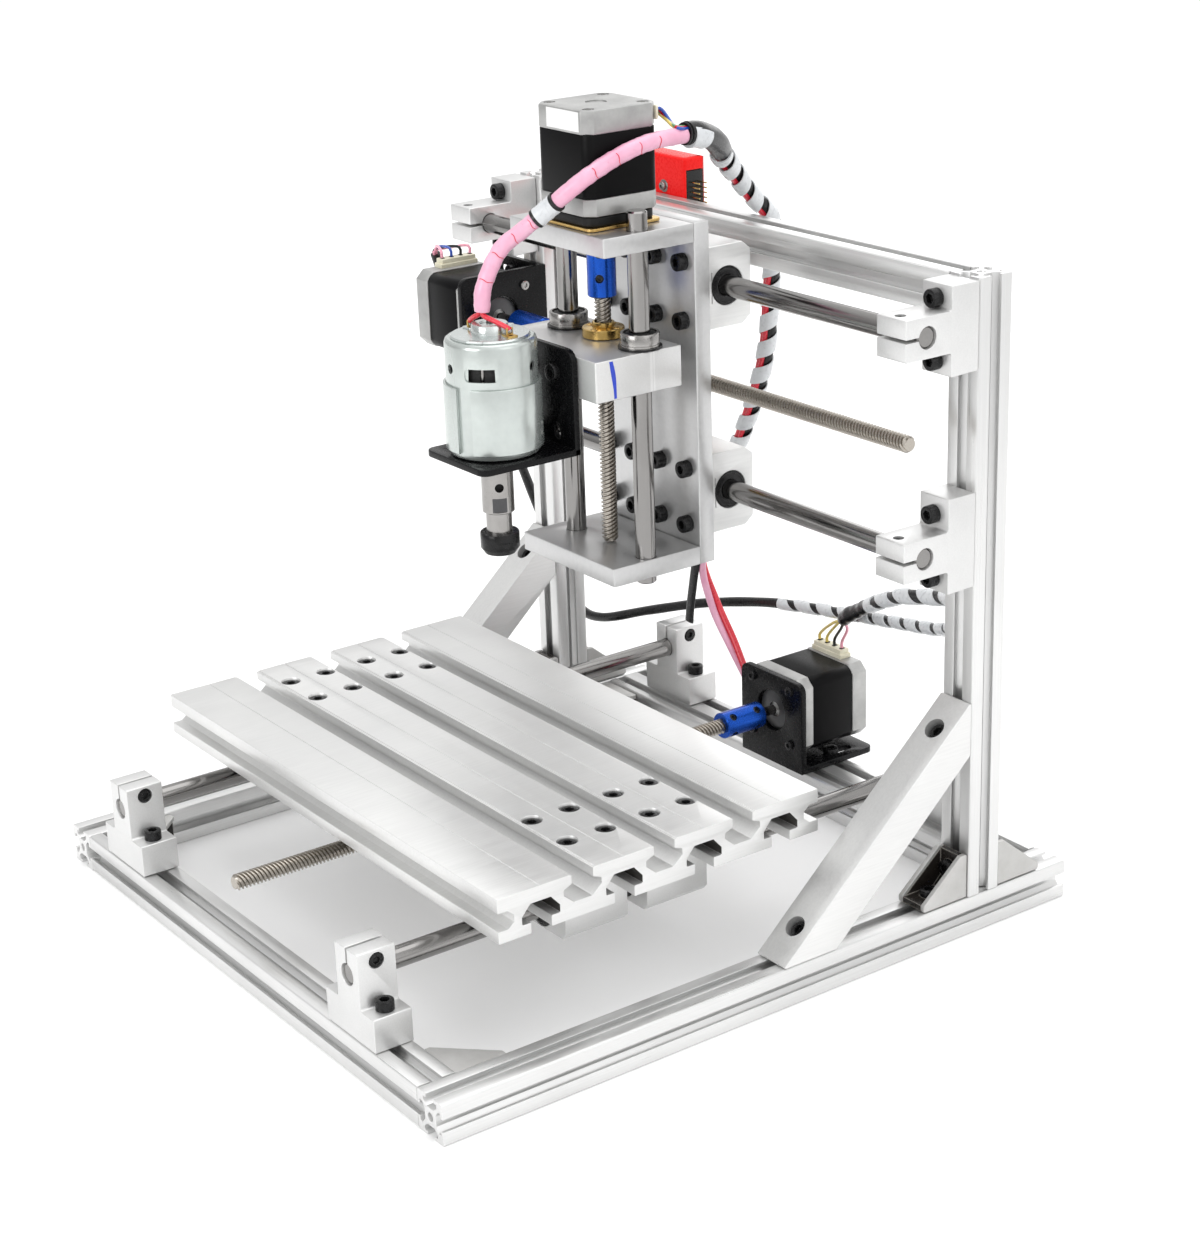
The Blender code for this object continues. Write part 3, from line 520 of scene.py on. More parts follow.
def tube_mesh(name, line, radius, mat, n=14, twist=None, offset=0.0, phase=0.0):
    """A mesh tube along machine-mm points; radius may be a function of arc length; offset winds it round the line, one turn every twist mm."""
    fr = frames(line)
    bm = bmesh.new()
    rings, walked = [], 0.0
    centres = []
    for i, (p, (t, u, v)) in enumerate(zip(line, fr)):
        if i:
            walked += (line[i] - line[i - 1]).length
        c = p
        if offset:
            a = phase + 2 * math.pi * walked / twist
            c = p + u * (offset * math.cos(a)) + v * (offset * math.sin(a))
        centres.append(c)
    fr2 = frames(centres)
    walked = 0.0
    for i, (c, (t, u, v)) in enumerate(zip(centres, fr2)):
        if i:
            walked += (centres[i] - centres[i - 1]).length
        r = radius(walked) if callable(radius) else radius
        rings.append([bm.verts.new(P(*(c + u * (r * math.cos(2 * math.pi * k / n)) + v * (r * math.sin(2 * math.pi * k / n))))) for k in range(n)])
    for a, b in zip(rings, rings[1:]):
        for k in range(n):
            j = (k + 1) % n
            bm.faces.new((a[k], a[j], b[j], b[k]))
    for ring, flip in ((rings[0], True), (rings[-1], False)):
        bm.faces.new(list(reversed(ring)) if flip else ring)
    bmesh.ops.recalc_face_normals(bm, faces=bm.faces)
    data = bpy.data.meshes.new(name)
    bm.to_mesh(data)
    bm.free()
    obj = add(name, data)
    data.materials.append(mat)
    data.shade_smooth()
    data.set_sharp_from_angle(angle=math.radians(50))
    return obj


def band_mesh(name, line, radius, thick, pitch, width, mat, phase=0.0, swell=None):
    """A flat strip wound round the line: one turn every pitch mm, width mm wide along the line."""
    fr = frames(line)
    total = sum((b - a).length for a, b in zip(line, line[1:]))
    lengths = [0.0]
    for a, b in zip(line, line[1:]):
        lengths.append(lengths[-1] + (b - a).length)

    def at(s):
        s = max(0.0, min(total, s))
        for i in range(1, len(lengths)):
            if lengths[i] >= s:
                break
        k = (s - lengths[i - 1]) / max(1e-9, lengths[i] - lengths[i - 1])
        p = line[i - 1].lerp(line[i], k)
        t, u, v = (fr[i - 1][j].lerp(fr[i][j], k) for j in range(3))
        return p, u.normalized(), v.normalized()

    bm = bmesh.new()
    rows = []
    steps_per_turn = 18
    turns = total / pitch
    count = int(turns * steps_per_turn)
    for i in range(count + 1):
        a = 2 * math.pi * i / steps_per_turn + phase
        s = pitch * i / steps_per_turn
        row = []
        for ds, r in ((-width / 2, radius), (-width / 2, radius + thick * 0.7), (-width * 0.35, radius + thick), (width * 0.35, radius + thick), (width / 2, radius + thick * 0.7), (width / 2, radius)):
            p, u, v = at(s + ds)
            r += swell(s + ds) if swell else 0.0
            row.append(bm.verts.new(P(*(p + u * (r * math.cos(a)) + v * (r * math.sin(a))))))
        rows.append(row)
    for a, b in zip(rows, rows[1:]):
        for k in range(6):
            j = (k + 1) % 6
            bm.faces.new((a[k], a[j], b[j], b[k]))
    bm.faces.new(rows[0])
    bm.faces.new(list(reversed(rows[-1])))
    bmesh.ops.recalc_face_normals(bm, faces=bm.faces)
    data = bpy.data.meshes.new(name)
    bm.to_mesh(data)
    bm.free()
    obj = add(name, data)
    data.materials.append(mat)
    data.shade_smooth()
    data.set_sharp_from_angle(angle=math.radians(40))
    return obj


def wire(name, points, radius, mat, body, spacing=2.0, n=10):
    obj = tube_mesh(name, smooth(points, spacing), radius, mat, n)
    if body:
        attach(obj, body)
        PIECES.append(obj)
    return obj

# ---------------------------------------------------------------- frame: extrusions
def t_slot(width, height, centres):
    """Outline of the slotted section, with rounded corners and lips."""
    h, w = height / 2, width / 2
    o, i, lip, inner, deep = 3.0, 5.2, 1.8, 3.6, 5.6

    def slot_points(c):
        return [(c + o, 0), (c + o, lip), (c + i, lip), (c + i, inner), (c + 2.6, deep), (c - 2.6, deep), (c - i, inner), (c - i, lip), (c - o, lip), (c - o, 0)]

    points = [(w, h)]
    for c in sorted(centres, reverse=True):
        points += [(u, h - d) for u, d in slot_points(c)]
    points.append((-w, h))
    points += [(-w + d, u) for u, d in slot_points(0)]
    points.append((-w, -h))
    for c in sorted(centres):
        points += [(2 * c - u, -h + d) for u, d in slot_points(c)]
    points.append((w, -h))
    points += [(w - d, -u) for u, d in slot_points(0)]
    corner = {k: (1.3 if abs(abs(p[0]) - w) < 0.01 and abs(abs(p[1]) - h) < 0.01 else 0.35) for k, p in enumerate(points)}
    return rounded(points, corner, 3)


def beam(name, axis, section, bores):
    low, high = node_box(name)
    k = {"x": 0, "y": 1, "z": 2}[axis]
    at = centre(name)
    axes = {"x": X_UP, "y": Y_UP, "z": Z_UP}[axis]
    if section == "double":  # two slots in the top and underside
        outline = [(v, u) for u, v in reversed(t_slot(30, 20, [-7.5, 7.5]))] if axis != "x" else t_slot(30, 20, [-7.5, 7.5])
    else:
        outline = t_slot(20, 20, [0.0])
    prism(name + "_extrusion", [outline, *bores], high[k] - low[k], at, axes, EXTRUSION, "frame", 0.12, name, 24, 1)


BORE = circle(0, 0, 2.1, 20)
for side in ("left", "right"):
    beam("side_beam_" + side, "y", "single", [BORE])
    beam("post_" + side, "z", "single", [BORE])
beam("front_beam", "x", "single", [BORE])
beam("top_beam", "x", "single", [BORE])
beam("rear_beam", "x", "double", [circle(-7.5, 0, 1.6, 16), circle(7.5, 0, 1.6, 16)])

# ---------------------------------------------------------------- braces
for side in ("left", "right"):
    low, high = node_box("brace_" + side)
    y0, y1, z0, z1 = low[1], high[1], low[2], high[2]
    outline = rounded([(184.5, z0), (216.5, z0), (y1, 94.5), (y1, z1)], 0.6, 2)
    obj = prism("brace_%s_bar" % side, [outline], high[0] - low[0], (centre("brace_" + side)[0], 0, 0), X_UP, TABLE_AL, None, 0.5)
    x = centre("brace_" + side)[0]
    slope = Vector((0, y1 - 184.5, z1 - z0)).normalized()
    normal = Vector((0, -slope.z, slope.y))
    cutters, heads = [], []
    for t in (0.134, 0.878):
        p = Vector((x, 184.5, z0)) + slope * (t * (Vector((0, y1 - 184.5, z1 - z0)).length))
        down = Vector((0, 0, -1)) if t < 0.5 else Vector((0, 1, 0))
        cutters.append(plug(p + normal * 4, -normal, [(5.2, 0), (5.2, 12.0)]))
        heads.append(screw_head(p - normal * 7.4, normal, 4.3, 4.4, 2.4, BLACK_OXIDE, 0.4))
        heads.append(washer(p - normal * 8.0, normal, 5.1, 2.6, 0.6, BRIGHT))
    cut(obj, cutters)
    finish_mesh(obj, "frame", TABLE_AL, 30, "brace_" + side)
    joined("brace_%s_bolts" % side, heads, "frame")


# ---------------------------------------------------------------- die-cast corner brackets
def corner_bracket(name, at, axes, legs, width, body, replace=None):
    """Two cheeks, two soles and a sloping web; corner at the origin, legs along +x and +y, width along z."""
    a, b = legs
    cheek = rounded([(0, 0), (a, 0), (a, 3.2), (4.0, b), (0, b)], {1: 1.0, 2: 1.0, 3: 1.0, 4: 1.0}, 3)
    parts = []
    for k in (-1, 1):
        shift = Vector(axes[2]) * (k * (width / 2 - 1.3))
        parts.append(dressed_prism(name + "_cheek", [cheek], 2.6, Vector(at) + shift, axes, CAST, 0.5))
        # a thin near-black sheet just inside each cheek: painted shade
        parts.append(dressed_prism(name + "_painted_shade_lining", [rounded([(1, 1), (a - 1.6, 1), (a - 1.6, 2.6), (3.2, b - 1.6), (1, b - 1.6)], 0.3, 2)], 0.3, Vector(at) + Vector(axes[2]) * (k * (width / 2 - 2.7)), axes, CAST_PAINTED_SHADE, 0.0))
    # soles along both legs, and a hollowed web between the cheeks, all in the near-black painted shade
    parts.append(dressed_prism(name + "_sole", [[(0.2, 0.05), (a - 0.6, 0.05), (a - 0.6, 3.0), (0.2, 3.0)]], width - 2, at, axes, CAST_PAINTED_SHADE, 0.3))
    parts.append(dressed_prism(name + "_wall", [[(0.05, 0.2), (3.0, 0.2), (3.0, b - 0.6), (0.05, b - 0.6)]], width - 2, at, axes, CAST_PAINTED_SHADE, 0.3))
    parts.append(dressed_prism(name + "_web", [rounded([(2.0, 2.0), (8.5, 2.0), (2.0, 8.5)], 0.6, 2)], width - 4, at, axes, CAST_PAINTED_SHADE, 0.3))
    local = matrix3(axes)
    for u, v, d in ((a * 0.60, 3.0, (0, 1, 0)), (3.0, b * 0.60, (1, 0, 0))):
        where = Vector(at) + local @ Vector((u, v, 0))
        parts.append(screw_head(where, local @ Vector(d), 4.2, 3.4, 2.3, BLACK_OXIDE))
    obj = joined(name, parts, body)
    if replace:
        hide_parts(replace)
    return obj


def matrix3(axes):
    return Matrix([Vector(v) for v in axes]).transposed()


def dressed_prism(name, outlines, thick, at, axes, mat, bevel=0.3):
    obj = prism(name, outlines, thick, at, axes, mat, None, bevel)
    obj.data.materials.clear()
    obj.data.materials.append(mat)
    return obj


for side, sign in (("right", 1), ("left", -1)):
    low, high = node_box("post_bracket_front_" + side)
    x = (low[0] + high[0]) / 2
    corner_bracket("front_corner_bracket_" + side, (x, high[1], low[2]), ((0, -1, 0), (0, 0, 1), (-1, 0, 0)), (high[1] - low[1], high[2] - low[2]), high[0] - low[0], "frame", "post_bracket_front_" + side)
    low, high = node_box("post_bracket_rear_" + side)
    corner_bracket("rear_corner_bracket_" + side, (x, low[1], low[2]), ((0, 1, 0), (0, 0, 1), (1, 0, 0)), (high[1] - low[1], high[2] - low[2]), high[0] - low[0], "frame", "post_bracket_rear_" + side)
    corner_bracket("base_corner_bracket_" + side, (sign * 159.9, 20.1, 10), ((-sign, 0, 0), (0, 1, 0), (0, 0, -sign)), (26.5, 26.5), 17.5, "frame")
    corner_bracket("base_rear_bracket_" + side, (sign * 159.9, 334.4, 10), ((-sign, 0, 0), (0, -1, 0), (0, 0, sign)), (26.5, 26.5), 17.5, "frame")


# ---------------------------------------------------------------- rod supports
def support_outline(foot_w, extra, height, foot_h, nose_w, rod, slit=1.6, r=5.15):
    """Inverted T with a split clamp; foot on y=0; rod hole at (0, rod)."""
    f, n, s = foot_w / 2, nose_w / 2, slit / 2
    a0 = math.asin(s / r)
    hole = []
    for k in range(33):
        a = math.pi / 2 - a0 - (2 * math.pi - 2 * a0) * k / 32
        hole.append((r * math.cos(a), rod + r * math.sin(a)))
    body = [(-f, 0), (f + extra, 0), (f + extra, foot_h), (n, foot_h), (n, height), (s, height)]
    tail = [(-s, height), (-n, height), (-n, foot_h), (-f, foot_h)]
    head = rounded(body + [(s, height - 4)], {0: 0.6, 1: 0.6, 2: 0.6, 3: 1.2, 4: 0.7, 5: 0.3}, 3)[:-1]
    foot = rounded([(-s, height - 4)] + tail + [(-f, 0)], {1: 0.3, 2: 0.7, 3: 1.2, 4: 0.6}, 3)[1:-1]
    return head + hole + foot


SUP = {"foot_w": 41.0, "height": 43.2, "foot_h": 16.3, "nose_w": 19.0, "rod": 30.4}


def rod_support(name, at, axes, thick, extra, bolt_sides, clamp_side, z_bolt=14.2):
    outline = support_outline(SUP["foot_w"], extra, SUP["height"], SUP["foot_h"], SUP["nose_w"], SUP["rod"])
    obj = prism(name + "_block", [outline], thick, at, axes, MILLED, None, 0.35)
    local = matrix3(axes)
    heads, cutters = [], []
    for k in (-1, 1):
        off = k * z_bolt + (extra * 0.5 if k > 0 else 0)
        where = Vector(at) + local @ Vector((off, SUP["foot_h"], 0))
        up = local @ Vector((0, 1, 0))
        heads.append(screw_head(where + up * 0.0, up, 4.3, 4.8, 2.4, BLACK_OXIDE, 0.2 + k))
    side = local @ Vector((clamp_side, 0, 0))
    where = Vector(at) + local @ Vector((clamp_side * SUP["nose_w"] / 2, SUP["height"] - 5.2, 0))
    big = axes is XZ_FRONT
    cutters.append(plug(where + side * 1.0, -side, [(3.9, 0), (3.9, 3.4)] if big else [(2.6, 0), (2.6, 3.0)]))
    heads.append(screw_head(where - side * (2.3 if big else 1.9), side, 3.5 if big else 2.35, 2.2 if big else 1.2, 1.9 if big else 1.2, BLACK_OXIDE, 0.5))
    # blind face: a faint thread end on the far side
    far = Vector(at) + local @ Vector((-clamp_side * SUP["nose_w"] / 2, SUP["height"] - 5.2, 0))
    cutters.append(plug(far - side * 1.0, side, [(1.9, 0), (1.9, 4.0)]))
    cut(obj, cutters)
    finish_mesh(obj, "frame", MILLED, 30, name)
    joined(name + "_bolts", heads, "frame")


for side in ("left", "right"):
    for end in ("front", "rear"):
        name = "y_rod_support_%s_%s" % (end, side)
        low, high = node_box(name)
        c = centre(name)
        rod_support(name, (c[0], c[1], low[2]), XZ_FRONT, high[1] - low[1], 0.0, None, 1)
    for level in ("lower", "upper"):
        name = "x_rod_support_%s_%s" % (level, side)
        low, high = node_box(name)
        rod = centre("x_rod_" + level)
        extra = (high[2] - rod[2]) - SUP["foot_w"] / 2
        rod_support(name, ((low[0] + high[0]) / 2, high[1], rod[2]), ((0, 0, 1), (0, -1, 0), (1, 0, 0)), high[0] - low[0], max(0, extra), None, 1)

# ---------------------------------------------------------------- ground rods
def rod(name, axis, body):
    low, high = node_box(name)
    k = "xyz".index(axis)
    at = centre(name)
    at[k] = low[k]
    length = high[k] - low[k]
    r = (high[(k + 1) % 3] - low[(k + 1) % 3]) / 2
    profile = [(r - 0.8, 0), (r, 0.8), (r, length - 0.8), (r - 0.8, length)]
    lathe(name + "_bar", profile, at, axis, ROD, body, 48, name)


for side in ("left", "right"):
    rod("y_rod_" + side, "y", "frame")
    rod("z_rod_" + side, "z", "x_carriage")
for level in ("lower", "upper"):
    rod("x_rod_" + level, "x", "frame")


# ---------------------------------------------------------------- lead screws
def threaded(name, r, start, length, at, axis, lead=8.0, starts=4, seg=36, depth=1.0, chamfer=1.2):
    """Trapezoidal right-hand thread with several starts, each swept along its helix, and a chamfered free end."""
    pitch = lead / starts
    shape = [(0.0, 0.0), (0.62, 0.0), (0.98, 1.0), (1.62, 1.0)]
    bm = bmesh.new()
    steps = int(math.ceil((length + lead) / lead * seg))

    def vert(i, offset, sunk):
        h = lead * i / seg + offset - lead
        low = max(0.0, min(length, h))
        radius = r - depth * sunk
        radius = min(radius, r - max(0.0, chamfer - low) * 0.85)
        a = 2 * math.pi * i / seg
        return bm.verts.new((radius * MM * math.cos(a), radius * MM * math.sin(a), (start + low) * MM))

    for k in range(starts):
        last = None
        for i in range(steps + 1):
            row = [vert(i, k * pitch + d * pitch / 2.0, sunk) for d, sunk in shape] + [vert(i, (k + 1) * pitch, 0.0)]
            if last:
                heights = [v.co.z for v in last + row]
                if max(heights) - min(heights) > 1e-6:
                    for j in range(len(row) - 1):
                        bm.faces.new((last[j], row[j], row[j + 1], last[j + 1]))
            last = row
    n = 40
    core = [bm.verts.new(((r - chamfer * 0.85) * MM * math.cos(2 * math.pi * i / n), (r - chamfer * 0.85) * MM * math.sin(2 * math.pi * i / n), (start + 0.02) * MM)) for i in range(n)]
    bm.faces.new(list(reversed(core)))
    bmesh.ops.remove_doubles(bm, verts=bm.verts, dist=1e-6)
    bmesh.ops.dissolve_degenerate(bm, dist=1e-6, edges=bm.edges)
    bmesh.ops.delete(bm, geom=[v for v in bm.verts if not v.link_faces], context="VERTS")
    bmesh.ops.recalc_face_normals(bm, faces=bm.faces)
    data = bpy.data.meshes.new(name)
    bm.to_mesh(data)
    bm.free()
    obj = add(name, data, matrix_at(at, AXES[axis] if isinstance(axis, str) else axis))
    data.materials.append(THREAD)
    return obj


def flipped(axes):
    """The same axis with local z the other way."""
    x, y, z = axes
    return (x, tuple(-c for c in y), tuple(-c for c in z))


def coupling(at, axes, length, set_screws=((5.5, 0), (5.5, 90), (-5.5, 0), (-5.5, 90))):
    """Rigid coupling with set screws near both ends."""
    n = 40
    parts = []
    r = 7.0
    profile = [(4.1, -0.2), (6.5, 0), (r, 0.5), (r, length - 0.5), (6.5, length), (4.1, length + 0.2)]
    body = loft("coupling", [(circle(0, 0, a, n), h) for a, h in [(4.1, 2.0), (4.1, 0.0), (6.4, 0.0), (r, 0.6), (r, length - 0.6), (6.4, length), (4.1, length), (4.1, length - 2)]], at, axes, None, None, caps=(True, True))
    parts.append(dressed(body, BLUE))
    del profile
    local = matrix3(axes)
    cutters = []
    for h, turn in set_screws:
        z = h if h > 0 else length + h
        a = math.radians(turn)
        out = Vector((math.cos(a), math.sin(a), 0))
        p = Vector(at) + local @ (out * r + Vector((0, 0, z)))
        cutters.append(plug(p + (local @ out) * 1, -(local @ out), [(2.15, 0), (2.15, 3.0)]))
        parts.append(screw_head(p - (local @ out) * 2.5, local @ out, 2.0, 1.9, 1.15, BLACK_OXIDE, 0.3))
    cut(body, cutters)
    dressed(body, BLUE)
    return parts


def lead_screw(name, axis, body, free_low, length, turn):
    low, high = node_box(name)
    k = "xyz".index(axis)
    at = centre(name)
    total = high[k] - low[k]
    at[k] = low[k] if free_low else high[k]
    axes = AXES[axis] if free_low else flipped(AXES[axis])
    parts = [threaded(name + "_thread", 4.0, 0, length, at, axes)]
    local = matrix3(axes)
    begin = Vector(at) + local @ Vector((0, 0, length))
    width = {"x_lead_screw": 26.0, "y_lead_screw": 26.0, "z_lead_screw": 27.0}[name]
    parts += coupling(begin, axes, width, turn)
    parts.append(dressed(lathe(name + "_shaft", [(2.5, length + width - 4), (2.5, total - 0.4), (2.2, total)], at, axes, None, None, 24), BRIGHT))
    made = joined(name + "_assembly", parts, body)
    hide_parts(name)


lead_screw("y_lead_screw", "y", "y_screw", True, 291.5, ((5.0, 40), (5.0, 130), (-5.0, 40), (-5.0, 130)))
lead_screw("x_lead_screw", "x", "x_screw", False, 169.0 + 116.0, ((5.5, 100), (5.5, 10), (-5.5, 100), (-5.5, 10)))
lead_screw("z_lead_screw", "z", "z_screw", True, 298.2 - 175.4, ((9.5, -135), (9.5, -45), (-5.5, -135), (-5.5, -45)))


# ---------------------------------------------------------------- motors
def soft_square(half, cut_corner, r=0.8, steps=3):
    """A square with its corners cut at 45 degrees and slightly rounded, always the same number of points."""
    c = cut_corner
    pts = [(half, -half + c), (half, half - c), (half - c, half), (-half + c, half), (-half, half - c), (-half, -half + c), (-half + c, -half), (half - c, -half)]
    return rounded(pts, r, steps)


def round_square(half, r, steps=6):
    pts = [(half, -half), (half, half), (-half, half), (-half, -half)]
    return rounded(pts, r, steps)


def stepper(name, node_name, at, axes, body, length, cap, flange, damper=0.0, label=False, extra=()):
    """Die-cast end caps with cut corners, laminated black body, pilot ring, corner screws and a socket on the rear cap."""
    half = 21.15
    local = matrix3(axes)
    parts = []

    def slab(z0, z1, outline_of, mat, bevel=0.7):
        """Slab between two heights with a rounded rim."""
        rings = []
        for d, h in ((bevel, z0), (bevel * 0.3, z0 + bevel * 0.3), (0, z0 + bevel), (0, z1 - bevel), (bevel * 0.3, z1 - bevel * 0.3), (bevel, z1)):
            rings.append((outline_of(d), h))
        return dressed(loft("slab", rings, at, axes, None, None, angle=28), mat)

    parts.append(slab(-length, -length + cap, lambda d: soft_square(half - d, 4.6 - d * 0.3), DIECAST, 0.9))
    parts.append(slab(-length + cap, -flange, lambda d: round_square(half - 0.55 - d, 5.2), BLACK_BODY, 0.15))
    parts.append(slab(-flange, 0.0, lambda d: soft_square(half - d, 4.6 - d * 0.3), DIECAST, 0.6))
    # pilot ring
    ring = lathe("pilot", [(4.2, 0.4), (4.2, 1.6), (10.2, 1.6), (11.0, 1.2), (11.0, -0.4), (4.2, -0.4), (4.2, 0.4)], at, axes, None, None, 40)
    if not damper:
        # the pilot ring is dark grey: painted shade where it sits in the bracket's bore
        parts.append(dressed(ring, PILOT_PAINTED_SHADE))
    else:
        bpy.data.objects.remove(ring, do_unlink=True)
    # screws sunk in the rear cap's corners
    cutters, heads = [], []
    back = local @ Vector((0, 0, -1))
    for sx in (-1, 1):
        for sy in (-1, 1):
            p = Vector(at) + local @ Vector((sx * 15.5, sy * 15.5, -length))
            cutters.append(plug(p + back * 1, -back, [(2.9, 0), (2.9, 3.4)]))
            heads.append(screw_head(p - back * 2.2, back, 2.6, 1.9, 1.2, BRIGHT, 0.2))
    # a shallow round boss recess in the middle of the rear cap
    cutters.append(plug(Vector(at) + local @ Vector((0, 0, -length)) + back * 1, -back, [(5.2, 0), (5.2, 1.7)]))
    cut(parts[0], cutters)
    dressed(parts[0], DIECAST)
    parts += heads
    parts.append(dressed(lathe("centre_disc", [(0.5, -length + 0.55), (4.6, -length + 0.55), (4.9, -length + 0.9)][::-1], at, axes, None, None, 32), DIECAST))
    parts += list(extra)
    made = joined(name, parts, body)
    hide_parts(node_name)
    return made


def socket(at, axes, wires, mats, width=16.0, deep=6.0, tall=7.5, slant=0.0):
    """A cream plug housing with a row of wire ends; local x along its length, z the way the wires leave."""
    local = matrix3(axes)
    parts = []
    shell = rounded(rect(-width / 2, -deep / 2, width / 2, deep / 2), 0.5, 2)
    parts.append(dressed_prism("shell", [shell], tall, Vector(at) + local @ Vector((0, 0, tall / 2)), axes, CREAM, 0.35))
    lip = rounded(rect(-width / 2 - 1.0, -deep / 2 - 0.5, width / 2 + 1.0, deep / 2 + 0.5), 0.5, 2)
    parts.append(dressed_prism("lip", [lip], tall * 0.5, Vector(at) + local @ Vector((0, 0, tall * 0.25)), axes, CREAM, 0.35))
    for k in range(wires):
        u = (k - (wires - 1) / 2) * (width - 4) / max(1, wires - 1)
        hole = rounded(rect(u - 1.0, -1.4, u + 1.0, 1.4), 0.3, 2)
        # near-black cells over the wire openings: painted shade in the holes
        parts.append(dressed_prism("cell", [hole], 0.5, Vector(at) + local @ Vector((0, 0, tall + 0.05)), axes, HOLLOW_PAINTED_SHADE, 0.1))
    return parts

# ---------------------------------------------------------------- motors in place
CAMERA_SIDE = Vector((0.8, -0.55, 0.2))
y_low, y_high = node_box("y_motor")
YM = ((y_low[0] + y_high[0]) / 2, y_low[1] + 1.6, (y_low[2] + y_high[2]) / 2)
y_axes = ((1, 0, 0), (0, 0, 1), (0, -1, 0))
y_len = y_high[1] - YM[1]
y_socket = socket((YM[0] - 3.0, y_high[1] - 4.6, y_high[2] - 0.2), ((1, 0, 0), (0, 1, 0), (0, 0, 1)), 4, None, 22.0, 6.5, 5.0)
stepper("y_motor_assembly", "y_motor", YM, y_axes, "frame", y_len, 10.1, 8.2, extra=y_socket)

x_low, x_high = node_box("x_motor")
XM = (x_high[0] - 1.6, (x_low[1] + x_high[1]) / 2, (x_low[2] + x_high[2]) / 2)
x_len = XM[0] - x_low[0]
x_socket = socket((x_low[0] + 4.6, XM[1] + 3.0, x_high[2] - 0.2), ((0, 1, 0), (-1, 0, 0), (0, 0, 1)), 4, None, 22.0, 6.5, 5.0)
stepper("x_motor_assembly", "x_motor", XM, ((0, 1, 0), (0, 0, 1), (1, 0, 0)), "frame", x_len, 11.6, 8.2, extra=x_socket)

z_low, z_high = node_box("z_motor")
ZM = ((z_low[0] + z_high[0]) / 2, (z_low[1] + z_high[1]) / 2, z_low[2] + 8.2)
z_len = z_high[2] - ZM[2]
zm_axes = ((1, 0, 0), (0, -1, 0), (0, 0, -1))
damper_low = z_low[2] + 1.6
extra = []
# damper: gold plate with four screws and a rubber ring
plate = rounded([(21.5, -21.0), (21.5, 21.0), (-21.5, 21.0), (-21.5, -21.0)], 3.5, 4)
extra.append(dressed_prism("gold", [plate, circle(0, 0, 11.5, 32)], 1.4, (ZM[0], ZM[1], damper_low + 0.75), Z_UP, GOLD, 0.2))
ear = rounded([(12, -5.5), (21.1, -5.5), (21.1, 5.5), (12, 5.5)], 2.0, 4)
for turn in (20, 110, 200, 290):
    a = math.radians(turn + 25)
    c = Vector((ZM[0] + 14.5 * math.cos(a), ZM[1] + 14.5 * math.sin(a), damper_low + 1.4))
    extra.append(screw_head(c, (0, 0, 1), 2.7, 1.6, 1.3, BRIGHT))
extra.append(dressed_prism("rubber", [rounded(rect(-19.6, -19.6, 19.6, 19.6), 6.0, 5), circle(0, 0, 12.0, 32)], 4.8, (ZM[0], ZM[1], damper_low + 1.4 + 2.45), Z_UP, RUBBER, 0.8))
label_x0, label_x1 = ZM[0] - 10.2, ZM[0] + 15.4
extra.append(box("label", (label_x0, label_x1), (ZM[1] - 21.28, ZM[1] - 21.0), (z_high[2] - 9.9, z_high[2] - 0.9), LABEL, None, 0.05))
dressed(extra[-1], LABEL)
del ear
stepper("z_motor_assembly", "z_motor", ZM, zm_axes, "x_carriage", z_len, 11.2, 8.2, damper=6.6, extra=extra)


# ---------------------------------------------------------------- folded brackets
def slot_outline(cx, cy, length, r, n=8):
    """Rounded slot along v."""
    out = []
    for k in range(n + 1):
        a = math.pi * k / n
        out.append((cx + r * math.cos(a), cy + length / 2 - r + r * math.sin(a)))
    for k in range(n + 1):
        a = math.pi + math.pi * k / n
        out.append((cx + r * math.cos(a), cy - length / 2 + r + r * math.sin(a)))
    return out


def motor_bracket(name, at, axes, half, tall, reach, bore, screws):
    """Black plate with a round bore and four motor screws; its foot runs back along -z."""
    outline = rounded([(-half, 0), (half, 0), (half, tall), (-half, tall)], {2: 5.0, 3: 5.0}, 5)
    t = 3.5
    local = matrix3(axes)
    plate_at = Vector(at)
    plate = prism("plate", [outline, circle(0, bore, 11.6, 40)], t, plate_at, axes, BLACK_SHEET, None, 0.35)
    dressed(plate, BLACK_SHEET)
    parts = [plate]
    # foot with two slots; local frame: x along the width, y back along -z of the plate
    foot_axes = (axes[0], tuple(-c for c in axes[2]), tuple(axes[1]))
    foot_at = plate_at + local @ Vector((0, 1.6, -t / 2))
    foot = rounded([(-half, 0), (half, 0), (half, reach - t), (-half, reach - t)], {2: 4.0, 3: 4.0}, 4)
    fx = matrix3(foot_axes)
    if fx.determinant() < 0:
        foot_axes = (tuple(-c for c in axes[0]), tuple(-c for c in axes[2]), tuple(axes[1]))
    foot_obj = prism("foot", [foot, slot_outline(-half + 8, (reach - t) * 0.62, 16, 2.7), slot_outline(half - 8, (reach - t) * 0.62, 16, 2.7)], 3.2, foot_at, foot_axes, BLACK_SHEET, None, 0.3)
    parts.append(dressed(foot_obj, BLACK_SHEET))
    cutters, heads = [], []
    out = local @ Vector((0, 0, 1))
    for sx in (-1, 1):
        for sy in (-1, 1):
            p = plate_at + local @ Vector((sx * 15.5, bore + sy * 15.5, t / 2))
            heads.append(screw_head(p, out, 2.7, 1.5, 1.35, screws, 0.7))
    parts += heads
    up = local @ Vector((0, 1, 0))
    for sx in (-1, 1):
        p = foot_at + up * 1.6 + matrix3(foot_axes) @ Vector((sx * (half - 8), (reach - t) * 0.5, 0))
        if abs((p - Vector(at)).dot(local @ Vector((0, 0, 1)))) > 22:
            parts.append(screw_head(p, up, 4.2, 3.0, 2.3, BLACK_OXIDE))
    made = joined(name + "_sheet", parts, "frame")
    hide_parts(name)
    del cutters
    return made


